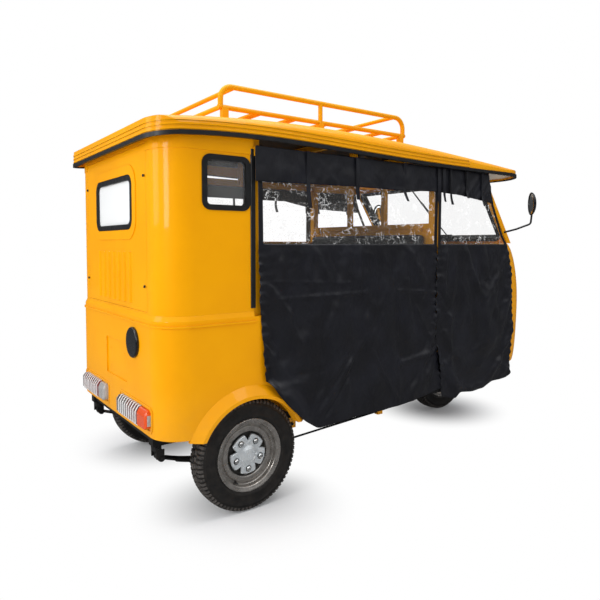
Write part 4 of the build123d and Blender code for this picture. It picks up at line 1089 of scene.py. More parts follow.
@dataclass(frozen=True)
class SeatPad:
    """Vinyl seat pad with sewn channels, blown up from its solid by the cloth solver."""

    node: str
    channels: int
    step: float = 0.02
    inset: float = 0.007
    corner: float = 0.022
    channel_depth: float = 0.007
    channel_half: float = 0.009

    def build(self) -> Piece:
        """Make the pad: its channels are held down while the rest swells, and its underside stays flat."""
        low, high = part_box(self.node)
        low, high = low + Vector((self.inset,) * 3), high - Vector((self.inset,) * 3)
        size = high - low
        thin = 2 if size.z < size.x else 0
        work = bmesh.new()
        bmesh.ops.create_cube(work, size=1.0)
        for vertex in work.verts:
            vertex.co = Vector(low[k] + (vertex.co[k] + 0.5) * size[k] for k in range(3))
        for axis in range(3):
            cuts = max(1, round(size[axis] / self.step) - 1)
            along = [e for e in work.edges if abs((e.verts[0].co - e.verts[1].co).normalized()[axis]) > 0.9]
            bmesh.ops.subdivide_edges(work, edges=along, cuts=cuts, use_grid_fill=True)
        work.verts.index_update()
        piece = mesh_object(f"{self.node}_padded", [v.co for v in work.verts],
                            [[v.index for v in f.verts] for f in work.faces], VINYL)
        work.free()
        pins = {}
        pitch = size.y / self.channels
        for vertex in piece.data.vertices:
            place = vertex.co - low
            line = abs(place.y / pitch - round(place.y / pitch)) * pitch
            inside = self.step < place.y < size.y - self.step
            if place[thin] < 0.001 or (line < self.step * 0.5 and inside):
                pins[vertex.index] = 1.0
        self.round_off(piece, low, high)
        ClothRun(frames=12, pressure=4.0, weight=0.0, bending=2.0).apply(piece, pins, 0.016)
        self.sew(piece, low, pitch, thin)
        refined(piece)
        return settle(piece, Body.MAIN, "seat_black", self.node)

    def round_off(self, piece: Piece, low: Vector, high: Vector) -> None:
        """Round the box's edges by pulling each point onto a rounded box.

        Args:
            piece: The pad.
            low: Lowest corner of its box.
            high: Highest corner of its box.
        """
        for vertex in piece.data.vertices:
            core = Vector(min(max(vertex.co[k], low[k] + self.corner), high[k] - self.corner) for k in range(3))
            out = vertex.co - core
            if out.length > 1e-9:
                vertex.co = core + out.normalized() * self.corner

    def sew(self, piece: Piece, low: Vector, pitch: float, thin: int) -> None:
        """Press the sewn channels into the cover.

        Args:
            piece: The pad.
            low: Lowest corner of its box.
            pitch: Distance between the channels.
            thin: Number of the axis that the pad is thin along.
        """
        for vertex in piece.data.vertices:
            line = vertex.co.y - low.y
            near = abs(line / pitch - round(line / pitch)) * pitch
            if vertex.co[thin] > low[thin] + 0.03:
                vertex.co[thin] -= self.channel_depth * math.exp(-(near / self.channel_half) ** 2)


def edge_at(line: Outline, at: float) -> float:
    """Read a broken line at one place.

    Args:
        line: Pairs of place and value, with the places rising.
        at: Place that is asked for.

    Returns:
        The value there.
    """
    return float(np.interp(at, [p for p, _ in line], [v for _, v in line]))


@dataclass(frozen=True)
class CurtainCut:
    """Cut of one hanging curtain seen from the side, from the rear axle along X."""

    name: str
    rear: Outline
    front: Outline
    foot: Outline
    # each crease: its two ends from the axle and up, its width and how far it stands out
    creases: Sequence[tuple[float, float, float, float, float, float]] = ()
    top: float = 1.642
    film_high: float = 1.53
    film_low: float = 1.219
    margin: float = 0.024
    cell: float = 0.0155
    lowest: float = 0.38

    def rows(self) -> list[tuple[float, float]]:
        """Height of each row above the foot zone, and its share down the foot zone."""
        found = []
        for high, low in ((self.top, self.film_high), (self.film_high, self.film_low)):
            count = round((high - low) / self.cell)
            found += [(high + (low - high) * k / count, 0.0) for k in range(count)]
        count = round((self.film_low - self.lowest) / self.cell)
        return found + [(self.film_low, k / count) for k in range(count + 1)]

    def columns(self) -> list[tuple[float, float, float]]:
        """Share from rear to front of each column, with its fixed distance from either edge."""
        count = round((edge_at(self.front, self.film_low) - edge_at(self.rear, self.film_low)) / self.cell)
        ends = [(0.0, k * self.margin / 2, 0.0) for k in range(2)]
        middle = [(k / count, self.margin, -self.margin) for k in range(count + 1)]
        return ends + middle + [(1.0, 0.0, -k * self.margin / 2) for k in (1, 0)]

    def place(self, row: tuple[float, float], column: tuple[float, float, float]) -> tuple[float, float]:
        """X from the axle and height of one point of the flat cut.

        Args:
            row: Height of its row above the foot zone, and its share down the foot zone.
            column: Share of its column from rear to front, and its distances from either edge.

        Returns:
            The point.
        """
        height, down = row
        share, after, before = column
        guess = self.across(height, share, after, before)
        low = edge_at(self.foot, guess)
        z = height + (low - height) * down if down else height
        return self.across(z, share, after, before), z

    def across(self, z: float, share: float, after: float, before: float) -> float:
        """X from the axle of one column at one height.

        Args:
            z: The height.
            share: Share of the column from rear to front.
            after: Its distance from the rear edge.
            before: Its distance from the front edge, less than 0.

        Returns:
            The distance.
        """
        rear, front = edge_at(self.rear, z), edge_at(self.front, z)
        return (rear + after * (share < 1)) * (1 - share) + (front + before * (share > 0)) * share


PASSENGER_CUT = CurtainCut(
    "passenger",
    rear=((0.574, 0.069), (0.676, 0.064), (0.805, 0.060), (0.943, 0.049), (1.219, 0.040), (1.66, 0.034)),
    front=((0.38, 1.290), (0.624, 1.252), (0.811, 1.242), (1.214, 1.247), (1.66, 1.250)),
    foot=((0.060, 0.590), (0.107, 0.532), (0.174, 0.469), (0.249, 0.403), (0.349, 0.343), (0.518, 0.349),
          (0.753, 0.353), (0.941, 0.357), (1.111, 0.367), (1.282, 0.377)),
    creases=((0.108, 1.013, 0.209, 0.886, 0.018, 0.010), (0.209, 0.886, 0.261, 0.767, 0.018, 0.010),
             (0.261, 0.767, 0.285, 0.688, 0.016, 0.006), (0.389, 0.398, 0.583, 0.612, 0.013, 0.011),
             (0.430, 0.380, 0.665, 0.644, 0.012, -0.009), (0.360, 0.440, 0.560, 0.660, 0.015, 0.008),
             (0.583, 0.612, 0.721, 0.743, 0.020, 0.007), (0.665, 0.644, 0.793, 0.843, 0.020, -0.007),
             (0.793, 0.843, 0.850, 0.989, 0.020, 0.006), (0.655, 1.214, 0.656, 0.957, 0.006, 0.004),
             (0.935, 0.942, 0.939, 0.545, 0.007, 0.005), (0.939, 0.545, 0.941, 0.367, 0.007, 0.004),
             (0.130, 1.044, 0.581, 1.022, 0.006, 0.003), (0.186, 0.963, 0.663, 0.967, 0.007, 0.005),
             (0.958, 0.963, 1.220, 0.944, 0.007, 0.005), (0.962, 0.565, 1.191, 0.594, 0.018, 0.011),
             (1.000, 0.420, 1.220, 0.560, 0.030, -0.008), (0.751, 0.644, 0.918, 0.393, 0.012, 0.007),
             (0.130, 0.880, 0.160, 0.700, 0.045, -0.012), (0.085, 0.563, 0.267, 0.555, 0.014, 0.006),
             (0.250, 0.600, 0.400, 0.600, 0.014, -0.006), (0.350, 1.200, 0.440, 1.050, 0.020, 0.007),
             (0.450, 1.190, 0.500, 1.080, 0.015, -0.006), (1.000, 1.200, 1.160, 1.000, 0.020, 0.007),
             (0.950, 1.200, 0.860, 1.000, 0.025, -0.006), (0.480, 0.900, 0.420, 0.760, 0.016, 0.006),
             (0.700, 0.880, 0.640, 0.760, 0.014, -0.006), (1.080, 0.860, 1.180, 0.700, 0.018, 0.007)))
CAB_CUT = CurtainCut(
    "cab",
    rear=((0.32, 1.312), (0.368, 1.300), (0.622, 1.252), (0.926, 1.240), (1.214, 1.248), (1.66, 1.252)),
    front=((0.372, 1.972), (0.491, 1.975), (0.688, 1.990), (0.820, 1.990), (1.018, 1.982), (1.123, 1.957),
           (1.214, 1.921), (1.278, 1.869), (1.416, 1.795), (1.579, 1.711), (1.66, 1.690)),
    foot=((1.26, 0.330), (1.319, 0.318), (1.373, 0.311), (1.410, 0.346), (1.523, 0.334), (1.641, 0.339),
          (1.722, 0.366), (1.869, 0.357), (1.98, 0.372)),
    creases=((1.505, 1.178, 1.565, 1.055, 0.022, 0.009), (1.565, 1.055, 1.668, 0.891, 0.022, 0.011),
             (1.912, 1.136, 1.809, 0.998, 0.022, 0.009), (1.809, 0.998, 1.708, 0.888, 0.024, 0.011),
             (1.600, 1.170, 1.700, 0.980, 0.020, -0.008), (1.800, 1.150, 1.720, 1.000, 0.020, -0.008),
             (1.255, 0.925, 1.364, 0.777, 0.020, 0.009), (1.364, 0.777, 1.369, 0.514, 0.022, 0.010),
             (1.369, 0.514, 1.428, 0.361, 0.024, 0.010), (1.296, 0.570, 1.340, 0.400, 0.018, -0.010),
             (1.600, 0.560, 1.850, 0.650, 0.028, 0.010), (1.620, 0.500, 1.950, 0.520, 0.030, -0.008),
             (1.321, 1.179, 1.300, 0.950, 0.018, 0.008), (1.253, 1.064, 1.300, 0.900, 0.014, -0.006),
             (1.979, 0.380, 1.800, 0.500, 0.020, 0.007), (1.480, 0.960, 1.560, 0.760, 0.020, 0.006)))


def ridged(place: Vector, drop: float, layers: int, gain: float) -> float:
    """Height of sharp-ridged noise at one place.

    Args:
        place: The place, in wave lengths.
        drop: How fast the finer layers fade.
        layers: Count of the layers.
        gain: How strongly a ridge roughens the next layer.

    Returns:
        The height, about 1 on average.
    """
    return noise.ridged_multi_fractal(place, drop, 2.2, layers, 1.0, gain, noise_basis="PERLIN_ORIGINAL")


def from_crease(x: float, z: float, crease: Sequence[float]) -> float:
    """How far one crease lifts the cloth at one place, fading out past its ends.

    Args:
        x: Distance from the axle.
        z: Height.
        crease: The crease's two ends, width and lift.

    Returns:
        The lift in metres.
    """
    start_x, start_z, end_x, end_z, width, lift = crease
    run_x, run_z = end_x - start_x, end_z - start_z
    length = math.hypot(run_x, run_z)
    along = ((x - start_x) * run_x + (z - start_z) * run_z) / length
    off = ((x - start_x) * run_z - (z - start_z) * run_x) / length
    past = max(0.0, -along, along - length) / 0.03
    return lift * math.exp(-(off / width) ** 2 - past * past)


@dataclass
class SideCurtain:
    """Hanging nylon curtain with a clear film window, on one side of the vehicle."""

    cut: CurtainCut
    side: Side
    seed: int
    plane: float = 0.6155
    bulge: float = 0.026
    inward: float = 0.006
    pinned_above: float = 1.16
    first_folds: int = 26
    pucker: float = 0.0035
    pucker_pitch: float = 0.046
    pucker_reach: float = 0.028
    film_crumple: float = 0.0042
    flare_radius: float = 0.323
    flare_reach: float = 0.040

    def folds(self, x: float, z: float, draw: random.Random, waves: Sequence[tuple[float, ...]]) -> float:
        """Height of the first folds at one point, before the solver runs.

        Args:
            x: Distance from the axle.
            z: Height.
            draw: Source of the fine uneven starts.
            waves: Each fold's middle, height, lean, width and depth.

        Returns:
            Distance outward in metres.
        """
        total = draw.uniform(-0.0006, 0.0006)
        for middle, height, lean, width, depth in waves:
            off = (x - middle - lean * (z - height)) / width
            fade = math.exp(-((z - height) / 0.32) ** 2)
            total += depth * math.exp(-off * off) * fade
        return total

    def grid(self) -> tuple[Piece, int]:
        """Flat cut with its first folds.

        Returns:
            The mesh and the number of its columns.
        """
        draw = random.Random(self.seed)
        rear, front = edge_at(self.cut.rear, 1.0), edge_at(self.cut.front, 1.0)
        waves = [(draw.uniform(rear, front), draw.uniform(0.45, 1.1), draw.uniform(-0.9, 0.9),
                  draw.uniform(0.02, 0.06), draw.uniform(-0.010, 0.012)) for _ in range(self.first_folds)]
        rows, columns = self.cut.rows(), self.cut.columns()
        points = []
        for row in rows:
            for column in columns:
                x, z = self.cut.place(row, column)
                slack = min(1.0, max(0.0, (1.5 - z) / 0.35))
                out = self.folds(x, z, draw, waves) * slack
                points.append((AXLE_X + x, self.side.value * (self.plane + out), z))
        faces = quads(len(rows), len(columns))
        if self.side is Side.LEFT:
            faces = [face[::-1] for face in faces]
        name = f"curtain_{self.cut.name}_{self.side.word}"
        return mesh_object(name, points, faces, NYLON), len(columns)

    def hang(self, piece: Piece, wide: int) -> None:
        """Let the cloth drape, pinned along its header, its film and its edges, which are tied every 150 mm.

        Args:
            piece: The cloth.
            wide: The number of its columns.
        """
        pins = {}
        for vertex in piece.data.vertices:
            tied = vertex.index % wide in (0, wide - 1) and int(vertex.co.z * 1000) % 150 < 30
            if tied or vertex.co.z > self.pinned_above:
                pins[vertex.index] = 1.0
        ClothRun(frames=26, growth=0.035, bending=0.25, stiffness=25).apply(piece, pins, 0.05)
        for vertex in piece.data.vertices:
            out = self.roomy(vertex.co.y * self.side.value - self.plane)
            vertex.co.y = self.side.value * (self.plane + out + self.over_flare(vertex.co))

    def roomy(self, out: float) -> float:
        """Keep a distance outward within the room that the cloth has, softly."""
        room = self.bulge if out > 0 else self.inward
        return room * math.tanh(out / room)

    def over_flare(self, place: Vector) -> float:
        """How far the wheel arch's flare pushes the cloth out.

        Args:
            place: A point of the cloth.

        Returns:
            The push in metres.
        """
        reach = math.hypot(place.x - AXLE_X, place.z - AXLE_Z)
        share = min(1.0, max(0.0, (self.flare_radius + 0.05 - reach) / 0.085))
        return self.flare_reach * share * share * (3 - 2 * share)

    def part_off(self, piece: Piece) -> Piece:
        """Cut the film window out of the sheet.

        Args:
            piece: The draped cloth, which loses the window.

        Returns:
            The window as its own piece.
        """
        window = piece.copy()
        window.data = piece.data.copy()
        window.name = f"film_{self.cut.name}_{self.side.word}"
        bpy.context.scene.collection.objects.link(window)
        rows, wide = self.cut.rows(), len(self.cut.columns())
        for owner, keep_film in ((piece, False), (window, True)):
            work = bmesh.new()
            work.from_mesh(owner.data)
            work.faces.ensure_lookup_table()
            dropped = []
            for number, face in enumerate(work.faces):
                i, j = divmod(number, wide - 1)
                high, low = rows[i][0], rows[i + 1][0]
                inside = high <= self.cut.film_high + 1e-6 and low >= self.cut.film_low - 1e-6 and rows[i + 1][1] == 0
                if (inside and 2 <= j < wide - 3) != keep_film:
                    dropped.append(face)
            bmesh.ops.delete(work, geom=dropped, context="FACES")
            work.to_mesh(owner.data)
            work.free()
        return window

    def crumple(self, piece: Piece) -> None:
        """Press the creases, the puckered edges and fine crumples into the draped cloth, once it is finer.

        Args:
            piece: The draped cloth.
        """
        refined(piece)
        fixed(piece)
        for vertex in piece.data.vertices:
            x, z = vertex.co.x - AXLE_X, vertex.co.z
            place = Vector((x, self.seed * 2.3, z))
            lift = sum(from_crease(x, z, crease) for crease in self.cut.creases)
            # crumples of some 120 mm over a swell of some 290 mm
            lift += 0.0042 * (ridged(place * 8.5, 1.0, 4, 1.5) - 1.0) + 0.004 * noise.noise(place * 3.5)
            edge = min(x - edge_at(self.cut.rear, z), edge_at(self.cut.front, z) - x)
            wave = math.sin(TAU * z / self.pucker_pitch + 3 * noise.noise(place * 6))
            lift += self.pucker * (wave * math.exp(-max(0.0, edge) / self.pucker_reach))
            hold = min(1.0, max(0.0, (1.225 - z) / 0.05)) if z > self.cut.film_low - 0.05 else 1.0
            base = self.plane + self.over_flare(vertex.co)
            out = vertex.co.y * self.side.value - base + lift * hold
            vertex.co.y = self.side.value * (base + self.roomy(out))

    def crinkle(self, window: Piece) -> None:
        """Crumple the film finely, with its sewn border held flat.

        Args:
            window: The film.
        """
        work = bmesh.new()
        work.from_mesh(window.data)
        bmesh.ops.subdivide_edges(work, edges=work.edges, cuts=2, use_grid_fill=True)
        rim = {v for e in work.edges if e.is_boundary for v in e.verts}
        xs = [v.co.x for v in work.verts]
        left, right = min(xs), max(xs)
        for vertex in work.verts:
            place = Vector((vertex.co.x, self.seed * 3.7, vertex.co.z))
            crumple = ridged(place * 17, 0.9, 4, 1.6)
            edge = min(vertex.co.z - self.cut.film_low, self.cut.film_high - vertex.co.z,
                       vertex.co.x - left, right - vertex.co.x)
            hold = 0.0 if vertex in rim else min(1.0, max(0.0, edge / 0.02))
            vertex.co.y += self.side.value * self.film_crumple * (crumple - 1.1) * hold
        work.to_mesh(window.data)
        work.free()

    def build(self) -> None:
        """Make the cloth and its film."""
        piece, wide = self.grid()
        self.hang(piece, wide)
        window = self.part_off(piece)
        self.crinkle(window)
        self.crumple(piece)
        window.data.materials.clear()
        window.data.materials.append(FILM.material())
        for owner, thick in ((piece, 0.0012), (window, 0.0008)):
            walled(owner, thick)
        settle(piece, Body.MAIN, "cloth_black", f"side_curtain_{self.side.word}")
        settle(window, Body.MAIN, "clear_film", "curtain_films")


@dataclass
class Valance:
    """Nylon flap that hangs under the roof's edge over the curtain, with its tie straps."""

    side: Side
    seed: int
    plane: float = 0.6205
    top: float = 1.656
    far_foot: Outline = ((0.020, 1.560), (0.405, 1.557), (0.690, 1.552), (0.946, 1.546), (1.30, 1.485), (1.76, 1.470))
    foot: Outline = ((0.020, 1.498), (0.261, 1.503), (0.571, 1.508), (0.927, 1.508), (1.201, 1.517),
                     (1.261, 1.516), (1.431, 1.508), (1.702, 1.478), (1.76, 1.470))
    front: Outline = ((1.45, 1.775), (1.56, 1.735), (1.645, 1.715))
    cell: float = 0.011
    folds: int = 22
    drop: float = 0.18
    strap_half: float = 0.010
    strap_steps: int = 16
    # a strap hangs this far out, and this share of it curls
    strap_out: float = 0.009
    strap_curl: float = 0.28
    # each strap: distance from the axle, height of its loose end, how far the end curls
    straps: Sequence[tuple[float, float, float]] = (
        (0.308, 1.389, 0.006), (0.618, 1.443, 0.004), (0.960, 1.451, 0.020), (1.238, 1.450, 0.004),
        (1.283, 1.462, 0.010), (1.345, 1.449, 0.014), (1.490, 1.492, 0.010), (1.640, 1.451, 0.012))

    def build(self) -> None:
        """Make the flap and its straps."""
        draw = random.Random(self.seed)
        foot = self.foot if self.side is Side.RIGHT else self.far_foot
        rear = foot[0][0]
        count_down = round((self.top - 1.5) / self.cell)
        count_on = round((self.front[-1][1] - rear) / self.cell)
        waves = [(draw.uniform(rear, 1.7), draw.uniform(-0.5, 0.5), draw.uniform(0.025, 0.07),
                  draw.uniform(-0.006, 0.007)) for _ in range(self.folds)]
        # the front of the flap is drawn forward, in slanting folds
        waves += [(1.45 + 0.055 * k, 0.9, 0.014, 0.007 * (-1) ** k) for k in range(6)]
        points = []
        for i in range(count_down + 1):
            down = i / count_down
            for j in range(count_on + 1):
                share = j / count_on
                ahead = edge_at(self.front, self.top - down * self.drop)
                x = rear + (ahead - rear) * share
                z = self.top + (edge_at(foot, x) - self.top) * down
                out = sum(depth * math.exp(-((x - middle - lean * (z - 1.57)) / width) ** 2)
                          for middle, lean, width, depth in waves)
                out += 0.003 * (ridged(Vector((x, self.seed, z)) * 10, 1.0, 3, 1.5) - 1)
                points.append((AXLE_X + x, self.side.value * (self.plane + abs(out) * min(1.0, 1.6 * down)), z))
        faces = quads(count_down + 1, count_on + 1)
        if self.side is Side.LEFT:
            faces = [face[::-1] for face in faces]
        flap = mesh_object(f"valance_{self.side.word}", points, faces, NYLON)
        refined(flap)
        walled(flap, 0.0012)
        settle(flap, Body.MAIN, "cloth_black", "valances")
        ties = joined(f"tie_straps_{self.side.word}", [self.strap(*strap) for strap in self.straps])
        settle(ties, Body.MAIN, "cloth_black")

    def strap(self, x: float, end: float, curl: float) -> Piece:
        """One flat tie, hanging over the flap with its loose end curled.

        Args:
            x: Distance from the axle.
            end: Height of its loose end.
            curl: How far the end swings forward.

        Returns:
            The closed ribbon.
        """
        half, steps = self.strap_half, self.strap_steps
        points = []
        for k in range(steps + 1):
            share = k / steps
            z = self.top + (end - self.top) * share
            bend = max(0.0, share - (1 - self.strap_curl)) / self.strap_curl
            middle = AXLE_X + x + curl * bend ** 1.5
            out = self.plane + self.strap_out + 0.003 * math.sin(5 * share + x * 9) + 0.006 * bend
            turn = 0.25 * math.sin(x * 40 + 3 * share)
            for off, thick in ((-half, 0.0), (half, 0.0), (half, 0.0016), (-half, 0.0016)):
                points.append((middle + off * math.cos(turn), self.side.value * (out + thick + off * math.sin(turn)),
                               z))
        faces = [(0, 1, 2, 3), tuple(4 * steps + k for k in range(4))] + quads(steps + 1, 4, ring=True)
        made = mesh_object("strap", points, faces, NYLON, smooth=False)
        face_outwards(made)
        return made


@dataclass(frozen=True)
class TailLamp:
    """Wide rear lamp with round ends: coloured lenses under a row of bright standing ribs."""

    middle_y: float
    # where each colour ends, as a share of the width from the left end seen from behind, and its finish
    zones: Sequence[tuple[float, Finish]]
    width: float = 0.388
    end_round: float = 0.024
    corner_round: float = 0.032
    rib_count: int = 9
    rib: float = 0.007
    rib_from: float = 0.044
    rib_pitch: float = 0.028
    lens_inset: float = 0.003

    def section(self, inset: float, off: float) -> list[tuple[float, float]]:
        """Outline of the lamp from its side at one distance from its nearer end.

        Args:
            inset: How far it is drawn in from the lamp's own outline.
            off: Distance from the nearer end.

        Returns:
            Points along X and Z.
        """
        low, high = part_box("tail_lamps")
        back, face = high.x, low.x + inset
        outline = ((back, low.z + inset), (face + 0.006, low.z + 0.002 + inset), (face + 0.001, low.z + 0.009),
                   (face, low.z + 0.014), (face, high.z - 0.028), (face + 0.002, high.z - 0.022),
                   (back - 0.015, high.z - inset - 0.003), (back - 0.010, high.z - inset), (back, high.z - inset))
        inward = max(0.0, self.end_round - off)
        limit = low.x + self.end_round - math.sqrt(max(0.0, self.end_round ** 2 - inward ** 2))
        inward = max(0.0, self.corner_round - off)
        cut = self.corner_round - math.sqrt(max(0.0, self.corner_round ** 2 - inward ** 2))
        return [(min(back, max(x, limit)), min(high.z - inset - cut, max(z, low.z + inset + cut)))
                for x, z in outline]

    def stretch(self, name: str, start: float, end: float, inset: float, finish: Finish) -> Piece:
        """Solid length of the lamp between two distances from its left end.

        Args:
            name: Name of the piece.
            start: Where it begins.
            end: Where it ends.
            inset: How far it is drawn in.
            finish: Its finish.

        Returns:
            The closed solid.
        """
        near = (0.0, 0.001, 0.003, 0.006, 0.010, 0.015, 0.020, 0.024, 0.028, 0.032)
        stops = sorted({start, end} | {s for n in near for s in (n, self.width - n) if start < s < end})
        left = self.middle_y + self.width / 2
        points = []
        for stop in stops:
            ring = self.section(inset, min(stop, self.width - stop))
            points += [(x, left - stop, z) for x, z in ring]
        count = len(points) // len(stops)
        faces = [tuple(range(count)), tuple(range(len(points) - count, len(points)))]
        faces += quads(len(stops), count, ring=True)
        made = mesh_object(name, points, faces, finish, smooth=False)
        face_outwards(made)
        return made

    def build(self) -> Piece:
        """Make the lenses, the clear ends and the ribs, running from left to right as seen from behind."""
        parts = []
        start = 0.0
        for share, finish in self.zones:
            end = self.width * share
            parts.append(self.stretch("lens", start + (0.0002 if start else 0.0), end, self.lens_inset, finish))
            start = end
        left = self.middle_y + self.width / 2
        rib = self.stretch("rib", self.width / 2, self.width / 2 + self.rib, 0.0, RIB_ACRYLIC)
        for vertex in rib.data.vertices:
            vertex.co.y -= left - self.width / 2
        places = [(0.0, left - self.rib_from - k * self.rib_pitch, 0.0) for k in range(self.rib_count)]
        parts.append(lay_copies("ribs", Layout.PLACES, rib, RIB_ACRYLIC, places))
        return joined("lamp", parts)


@dataclass(frozen=True)
class Mirror:
    """Oval door mirror turned towards the driver: a domed black shell with silvered glass in its rim."""

    side: Side
    turn: float = math.radians(36)
    wide: float = 0.048
    tall: float = 0.074
    shell: Outline = ((0.0, -0.021), (0.35, -0.0195), (0.66, -0.0155), (0.88, -0.008), (0.985, 0.0), (1.0, 0.005),
                      (0.985, 0.008), (0.94, 0.0082), (0.915, 0.006), (0.905, 0.003), (0.0, 0.003))
    glass: Outline = ((0.0, 0.0035), (0.90, 0.0035), (0.905, 0.0050), (0.60, 0.0066), (0.0, 0.0074))

    def build(self) -> Piece:
        """Make the shell and the glass."""
        low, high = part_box("mirror_heads")
        middle = ((low.x + high.x) / 2, self.side.value * (high.y - 0.050), (low.z + high.z) / 2)
        facing = (-math.cos(self.turn), -self.side.value * math.sin(self.turn), 0.0)
        parts = []
        for profile, finish in ((self.shell, CAP_BLACK), (self.glass, MIRROR_SILVER)):
            parts.append(revolved("shell", profile, middle, finish, 64, facing, (self.wide, self.tall)))
        return joined("mirror", parts)


@dataclass(frozen=True)
class SmallTrim:
    """Rubber strips on the door pillars and the domed screws of the rear panel."""

    strip_from: float = 0.006
    strip_to: float = 0.031
    strip_low: float = 0.930
    strip_high: float = 1.642
    screw_y: float = 0.417
    screw_heights: Sequence[float] = (1.512, 1.035)

    def strips(self, side: Side) -> Piece:
        """Make the rubber strip over one door pillar's front edge.

        Args:
            side: Side of the vehicle.

        Returns:
            The strip.
        """
        near, far = AXLE_X + self.strip_from, AXLE_X + self.strip_to
        section = [(near, 0.5985), (near, 0.602), (near + 0.003, 0.6055), (far - 0.003, 0.6055), (far, 0.602),
                   (far, 0.5985)]
        made = prism(f"pillar_strip_{side.word}", [(x, side.value * y) for x, y in section], self.strip_low,
                     self.strip_high, (0, 1, 2))
        made.data.materials.append(GASKET_RUBBER.material())
        return settle(made, Body.MAIN, "rubber_black")

    def screws(self) -> Piece:
        """Make the four domed screws that hold the rear panel."""
        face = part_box("rear_panel")[0].x
        dome = [(0.0, -0.003), (0.0062, -0.003), (0.0062, 0.0012), (0.0050, 0.0026), (0.0026, 0.0036), (0.0, 0.0040)]
        item = revolved("screw", dome, (face + 0.001, 0.0, 0.0), BLACK_TRIM, 24, (-1.0, 0.0, 0.0))
        places = [(0.0, side * self.screw_y, height) for side in (-1, 1) for height in self.screw_heights]
        made = lay_copies("panel_screws", Layout.PLACES, item, BLACK_TRIM, places)
        return settle(made, Body.MAIN, "black_steel")


RIGHT_LAMP = ((0.05, LENS_CLEAR), (0.36, LENS_SMOKE), (0.74, LENS_ROSE), (0.992, LENS_ORANGE), (1.0, LENS_CLEAR))
LEFT_LAMP = ((0.07, LENS_CLEAR), (0.66, LENS_ROSE), (0.78, LENS_RED), (1.0, LENS_CLEAR))


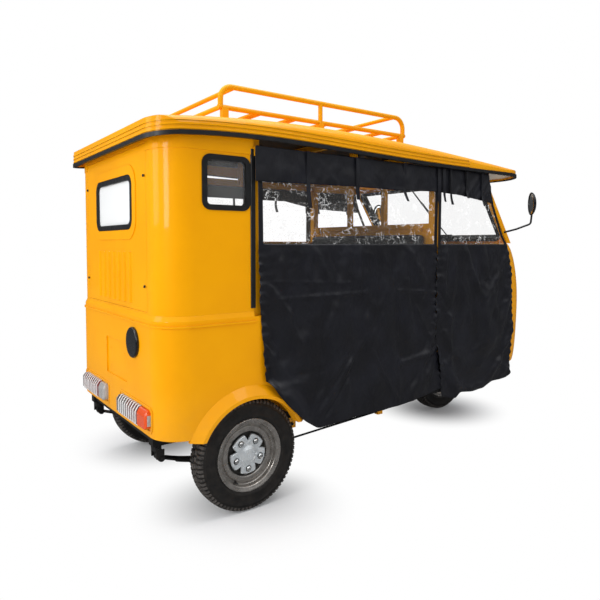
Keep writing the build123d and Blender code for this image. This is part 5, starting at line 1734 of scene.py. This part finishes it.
@dataclass(frozen=True)
class Studio:
    """White floor, soft lamps and the photograph's camera."""

    eye: Point = (-2.2285, -2.7724, 1.216)
    yaw: float = math.radians(53.9)
    pitch: float = math.radians(-2.7)
    lens: float = 33.8
    shift: float = -0.048
    floor_half: float = 14.0
    fill: float = 0.75
    mirror_low: float = 0.06
    mirror_high: float = 1.0
    fade_reach: tuple[float, float] = (0.10, 0.54)
    floor_pale: float = 0.84
    floor_mirrored: float = 0.16
    # each lamp: place, aim, width and height of its face in metres, and watts
    lamps: Sequence[tuple[str, Point, Point, tuple[float, float], float]] = (
        ("overhead", (-0.4, -0.3, 4.4), (0, 0, 0), (4.5, 3.0), 130),
        ("rear_left", (-4.2, 0.8, 2.6), (-1.2, 0, 1.0), (1.6, 2.6), 42),
        ("corner_strip", (-3.65, -1.4, 1.86), (-1.3, -0.55, 1.5), (0.8, 1.0), 27))

    def camera(self) -> None:
        """Stand the camera where the photograph was taken from."""
        data = bpy.data.cameras.new("camera")
        data.lens = self.lens
        data.sensor_width = 36
        data.shift_y = self.shift
        made = bpy.data.objects.new("camera", data)
        made.location = self.eye
        look = Vector((math.cos(self.yaw) * math.cos(self.pitch), math.sin(self.yaw) * math.cos(self.pitch),
                       math.sin(self.pitch)))
        made.rotation_euler = look.to_track_quat("-Z", "Y").to_euler()
        bpy.context.scene.collection.objects.link(made)
        bpy.context.scene.camera = made

    def lamp(self, name: str, place: Point, aim: Point, size: tuple[float, float], power: float) -> None:
        """Add one soft lamp.

        Args:
            name: Name of the lamp.
            place: Where it stands.
            aim: What it points at.
            size: Width and height of its face.
            power: Its power in watts.
        """
        data = bpy.data.lights.new(name, "AREA")
        data.shape = "RECTANGLE"
        data.size, data.size_y = size
        data.energy = power
        made = bpy.data.objects.new(name, data)
        made.location = place
        made.rotation_euler = (Vector(aim) - Vector(place)).to_track_quat("-Z", "Y").to_euler()
        bpy.context.scene.collection.objects.link(made)

    def world(self) -> None:
        """White surroundings for what is seen, a sky that brightens upward for mirrors, and a soft fill."""
        made = bpy.data.worlds.new("studio")
        bpy.context.scene.world = made
        made.use_nodes = True
        tree = made.node_tree
        tree.nodes.clear()
        path = add_node(tree, "ShaderNodeLightPath").outputs
        seen = maths(tree, "MAXIMUM", path["Is Camera Ray"], path["Is Transmission Ray"])
        towards = split(tree, add_node(tree, "ShaderNodeNewGeometry").outputs["Incoming"])[2]
        sky = mapped(tree, towards, (-0.04, -0.75), (self.mirror_low, self.mirror_high),
                     interpolation_type="SMOOTHSTEP")
        fill, mirrored, white = (add_node(tree, "ShaderNodeBackground", {"Color": linear(code), "Strength": strength})
                                 .outputs[0] for code, strength in (("F4F6FA", self.fill), ("FBFCFE", sky),
                                                                    ("FFFFFF", 1.0)))
        lit = add_node(tree, "ShaderNodeMixShader", {0: path["Is Glossy Ray"], 1: fill, 2: mirrored}).outputs[0]
        both = add_node(tree, "ShaderNodeMixShader", {0: seen, 1: lit, 2: white}).outputs[0]
        add_node(tree, "ShaderNodeOutputWorld", {0: both})

    def floor(self) -> None:
        """Pale floor that keeps the shadow under each wheel and fades into the white surroundings."""
        half = self.floor_half
        made = mesh_object("studio_floor", [(-half, -half, 0), (half, -half, 0), (half, half, 0), (-half, half, 0)],
                           [(0, 1, 2, 3)], None, smooth=False)
        surface = bpy.data.materials.new("studio_floor")
        surface.use_nodes = True
        tree = surface.node_tree
        tree.nodes.clear()
        place = add_node(tree, "ShaderNodeTexCoord").outputs["Object"]
        path = add_node(tree, "ShaderNodeLightPath").outputs
        nearest = None
        for node in ("rear_tyre_left", "rear_tyre_right", "front_tyre"):
            low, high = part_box(node)
            foot = ((low.x + high.x) / 2, (low.y + high.y) / 2, 0.0)
            away = add_node(tree, "ShaderNodeVectorMath", {0: place, 1: foot}, operation="DISTANCE").outputs["Value"]
            nearest = away if nearest is None else maths(tree, "MINIMUM", nearest, away)
        # the shadow is kept near each wheel and gone half a metre away
        fade = mapped(tree, nearest, self.fade_reach, (0.08, 1.0), interpolation_type="SMOOTHSTEP")
        seen = maths(tree, "MULTIPLY", fade, path["Is Camera Ray"])
        dim = mixed(tree, path["Is Glossy Ray"], (*(self.floor_pale,) * 3, 1), (*(self.floor_mirrored,) * 3, 1))
        matt = add_node(tree, "ShaderNodeBsdfDiffuse", {"Color": dim}).outputs[0]
        white = add_node(tree, "ShaderNodeEmission", {"Color": (1, 1, 1, 1), "Strength": 1.0}).outputs[0]
        both = add_node(tree, "ShaderNodeMixShader", {0: seen, 1: matt, 2: white}).outputs[0]
        add_node(tree, "ShaderNodeOutputMaterial", {0: both})
        made.data.materials.append(surface)

    def build(self) -> None:
        """Set up the camera, the floor, the surroundings and the lamps."""
        bpy.context.scene.view_settings.view_transform = "Standard"
        self.camera()
        self.world()
        self.floor()
        for lamp in self.lamps:
            self.lamp(*lamp)
        LOG.info("studio ready")


def dress_nodes() -> None:
    """Give every carried-over node its finish."""
    for finish, nodes in NODE_FINISHES.items():
        for node in nodes:
            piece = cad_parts[node]
            piece.data.materials.clear()
            piece.data.materials.append(finish.material())
    LOG.info("nodes dressed")


def main() -> None:
    """Build the studio and every piece in order, and report each."""
    logging.basicConfig(level=logging.INFO, format="%(message)s")
    Studio().build()
    dress_nodes()
    for node, body in (("rear_tyre_left", Body.REAR_LEFT), ("rear_tyre_right", Body.REAR_RIGHT),
                       ("front_tyre", Body.FRONT_WHEEL)):
        Tyre(node, body).build()
    for side in Side:
        face = WheelFace(side)
        face.rim()
        face.cover()
    lamps = joined("tail_lamps_dressed", [TailLamp(-0.287, RIGHT_LAMP).build(), TailLamp(0.287, LEFT_LAMP).build()])
    settle(lamps, Body.MAIN, "lamp_chrome", "tail_lamps")
    mirrors = joined("mirror_heads_dressed", [Mirror(side).build() for side in Side])
    settle(mirrors, Body.MAIN, "mirror_shell", "mirror_heads")
    trim = SmallTrim()
    trim.screws()
    for side in Side:
        trim.strips(side)
    for node in ("rear_seat_cushion", "rear_seat_back", "front_seat_cushion", "front_seat_back",
                 "driver_seat_cushion", "driver_seat_back"):
        SeatPad(node, 7 if node.startswith("rear") else 9).build()
    for side, seed in ((Side.RIGHT, 11), (Side.LEFT, 37)):
        SideCurtain(PASSENGER_CUT, side, seed).build()
        SideCurtain(CAB_CUT, side, seed + 5, plane=0.6185).build()
        Valance(side, seed + 9).build()


if __name__ == "__main__":
    main()
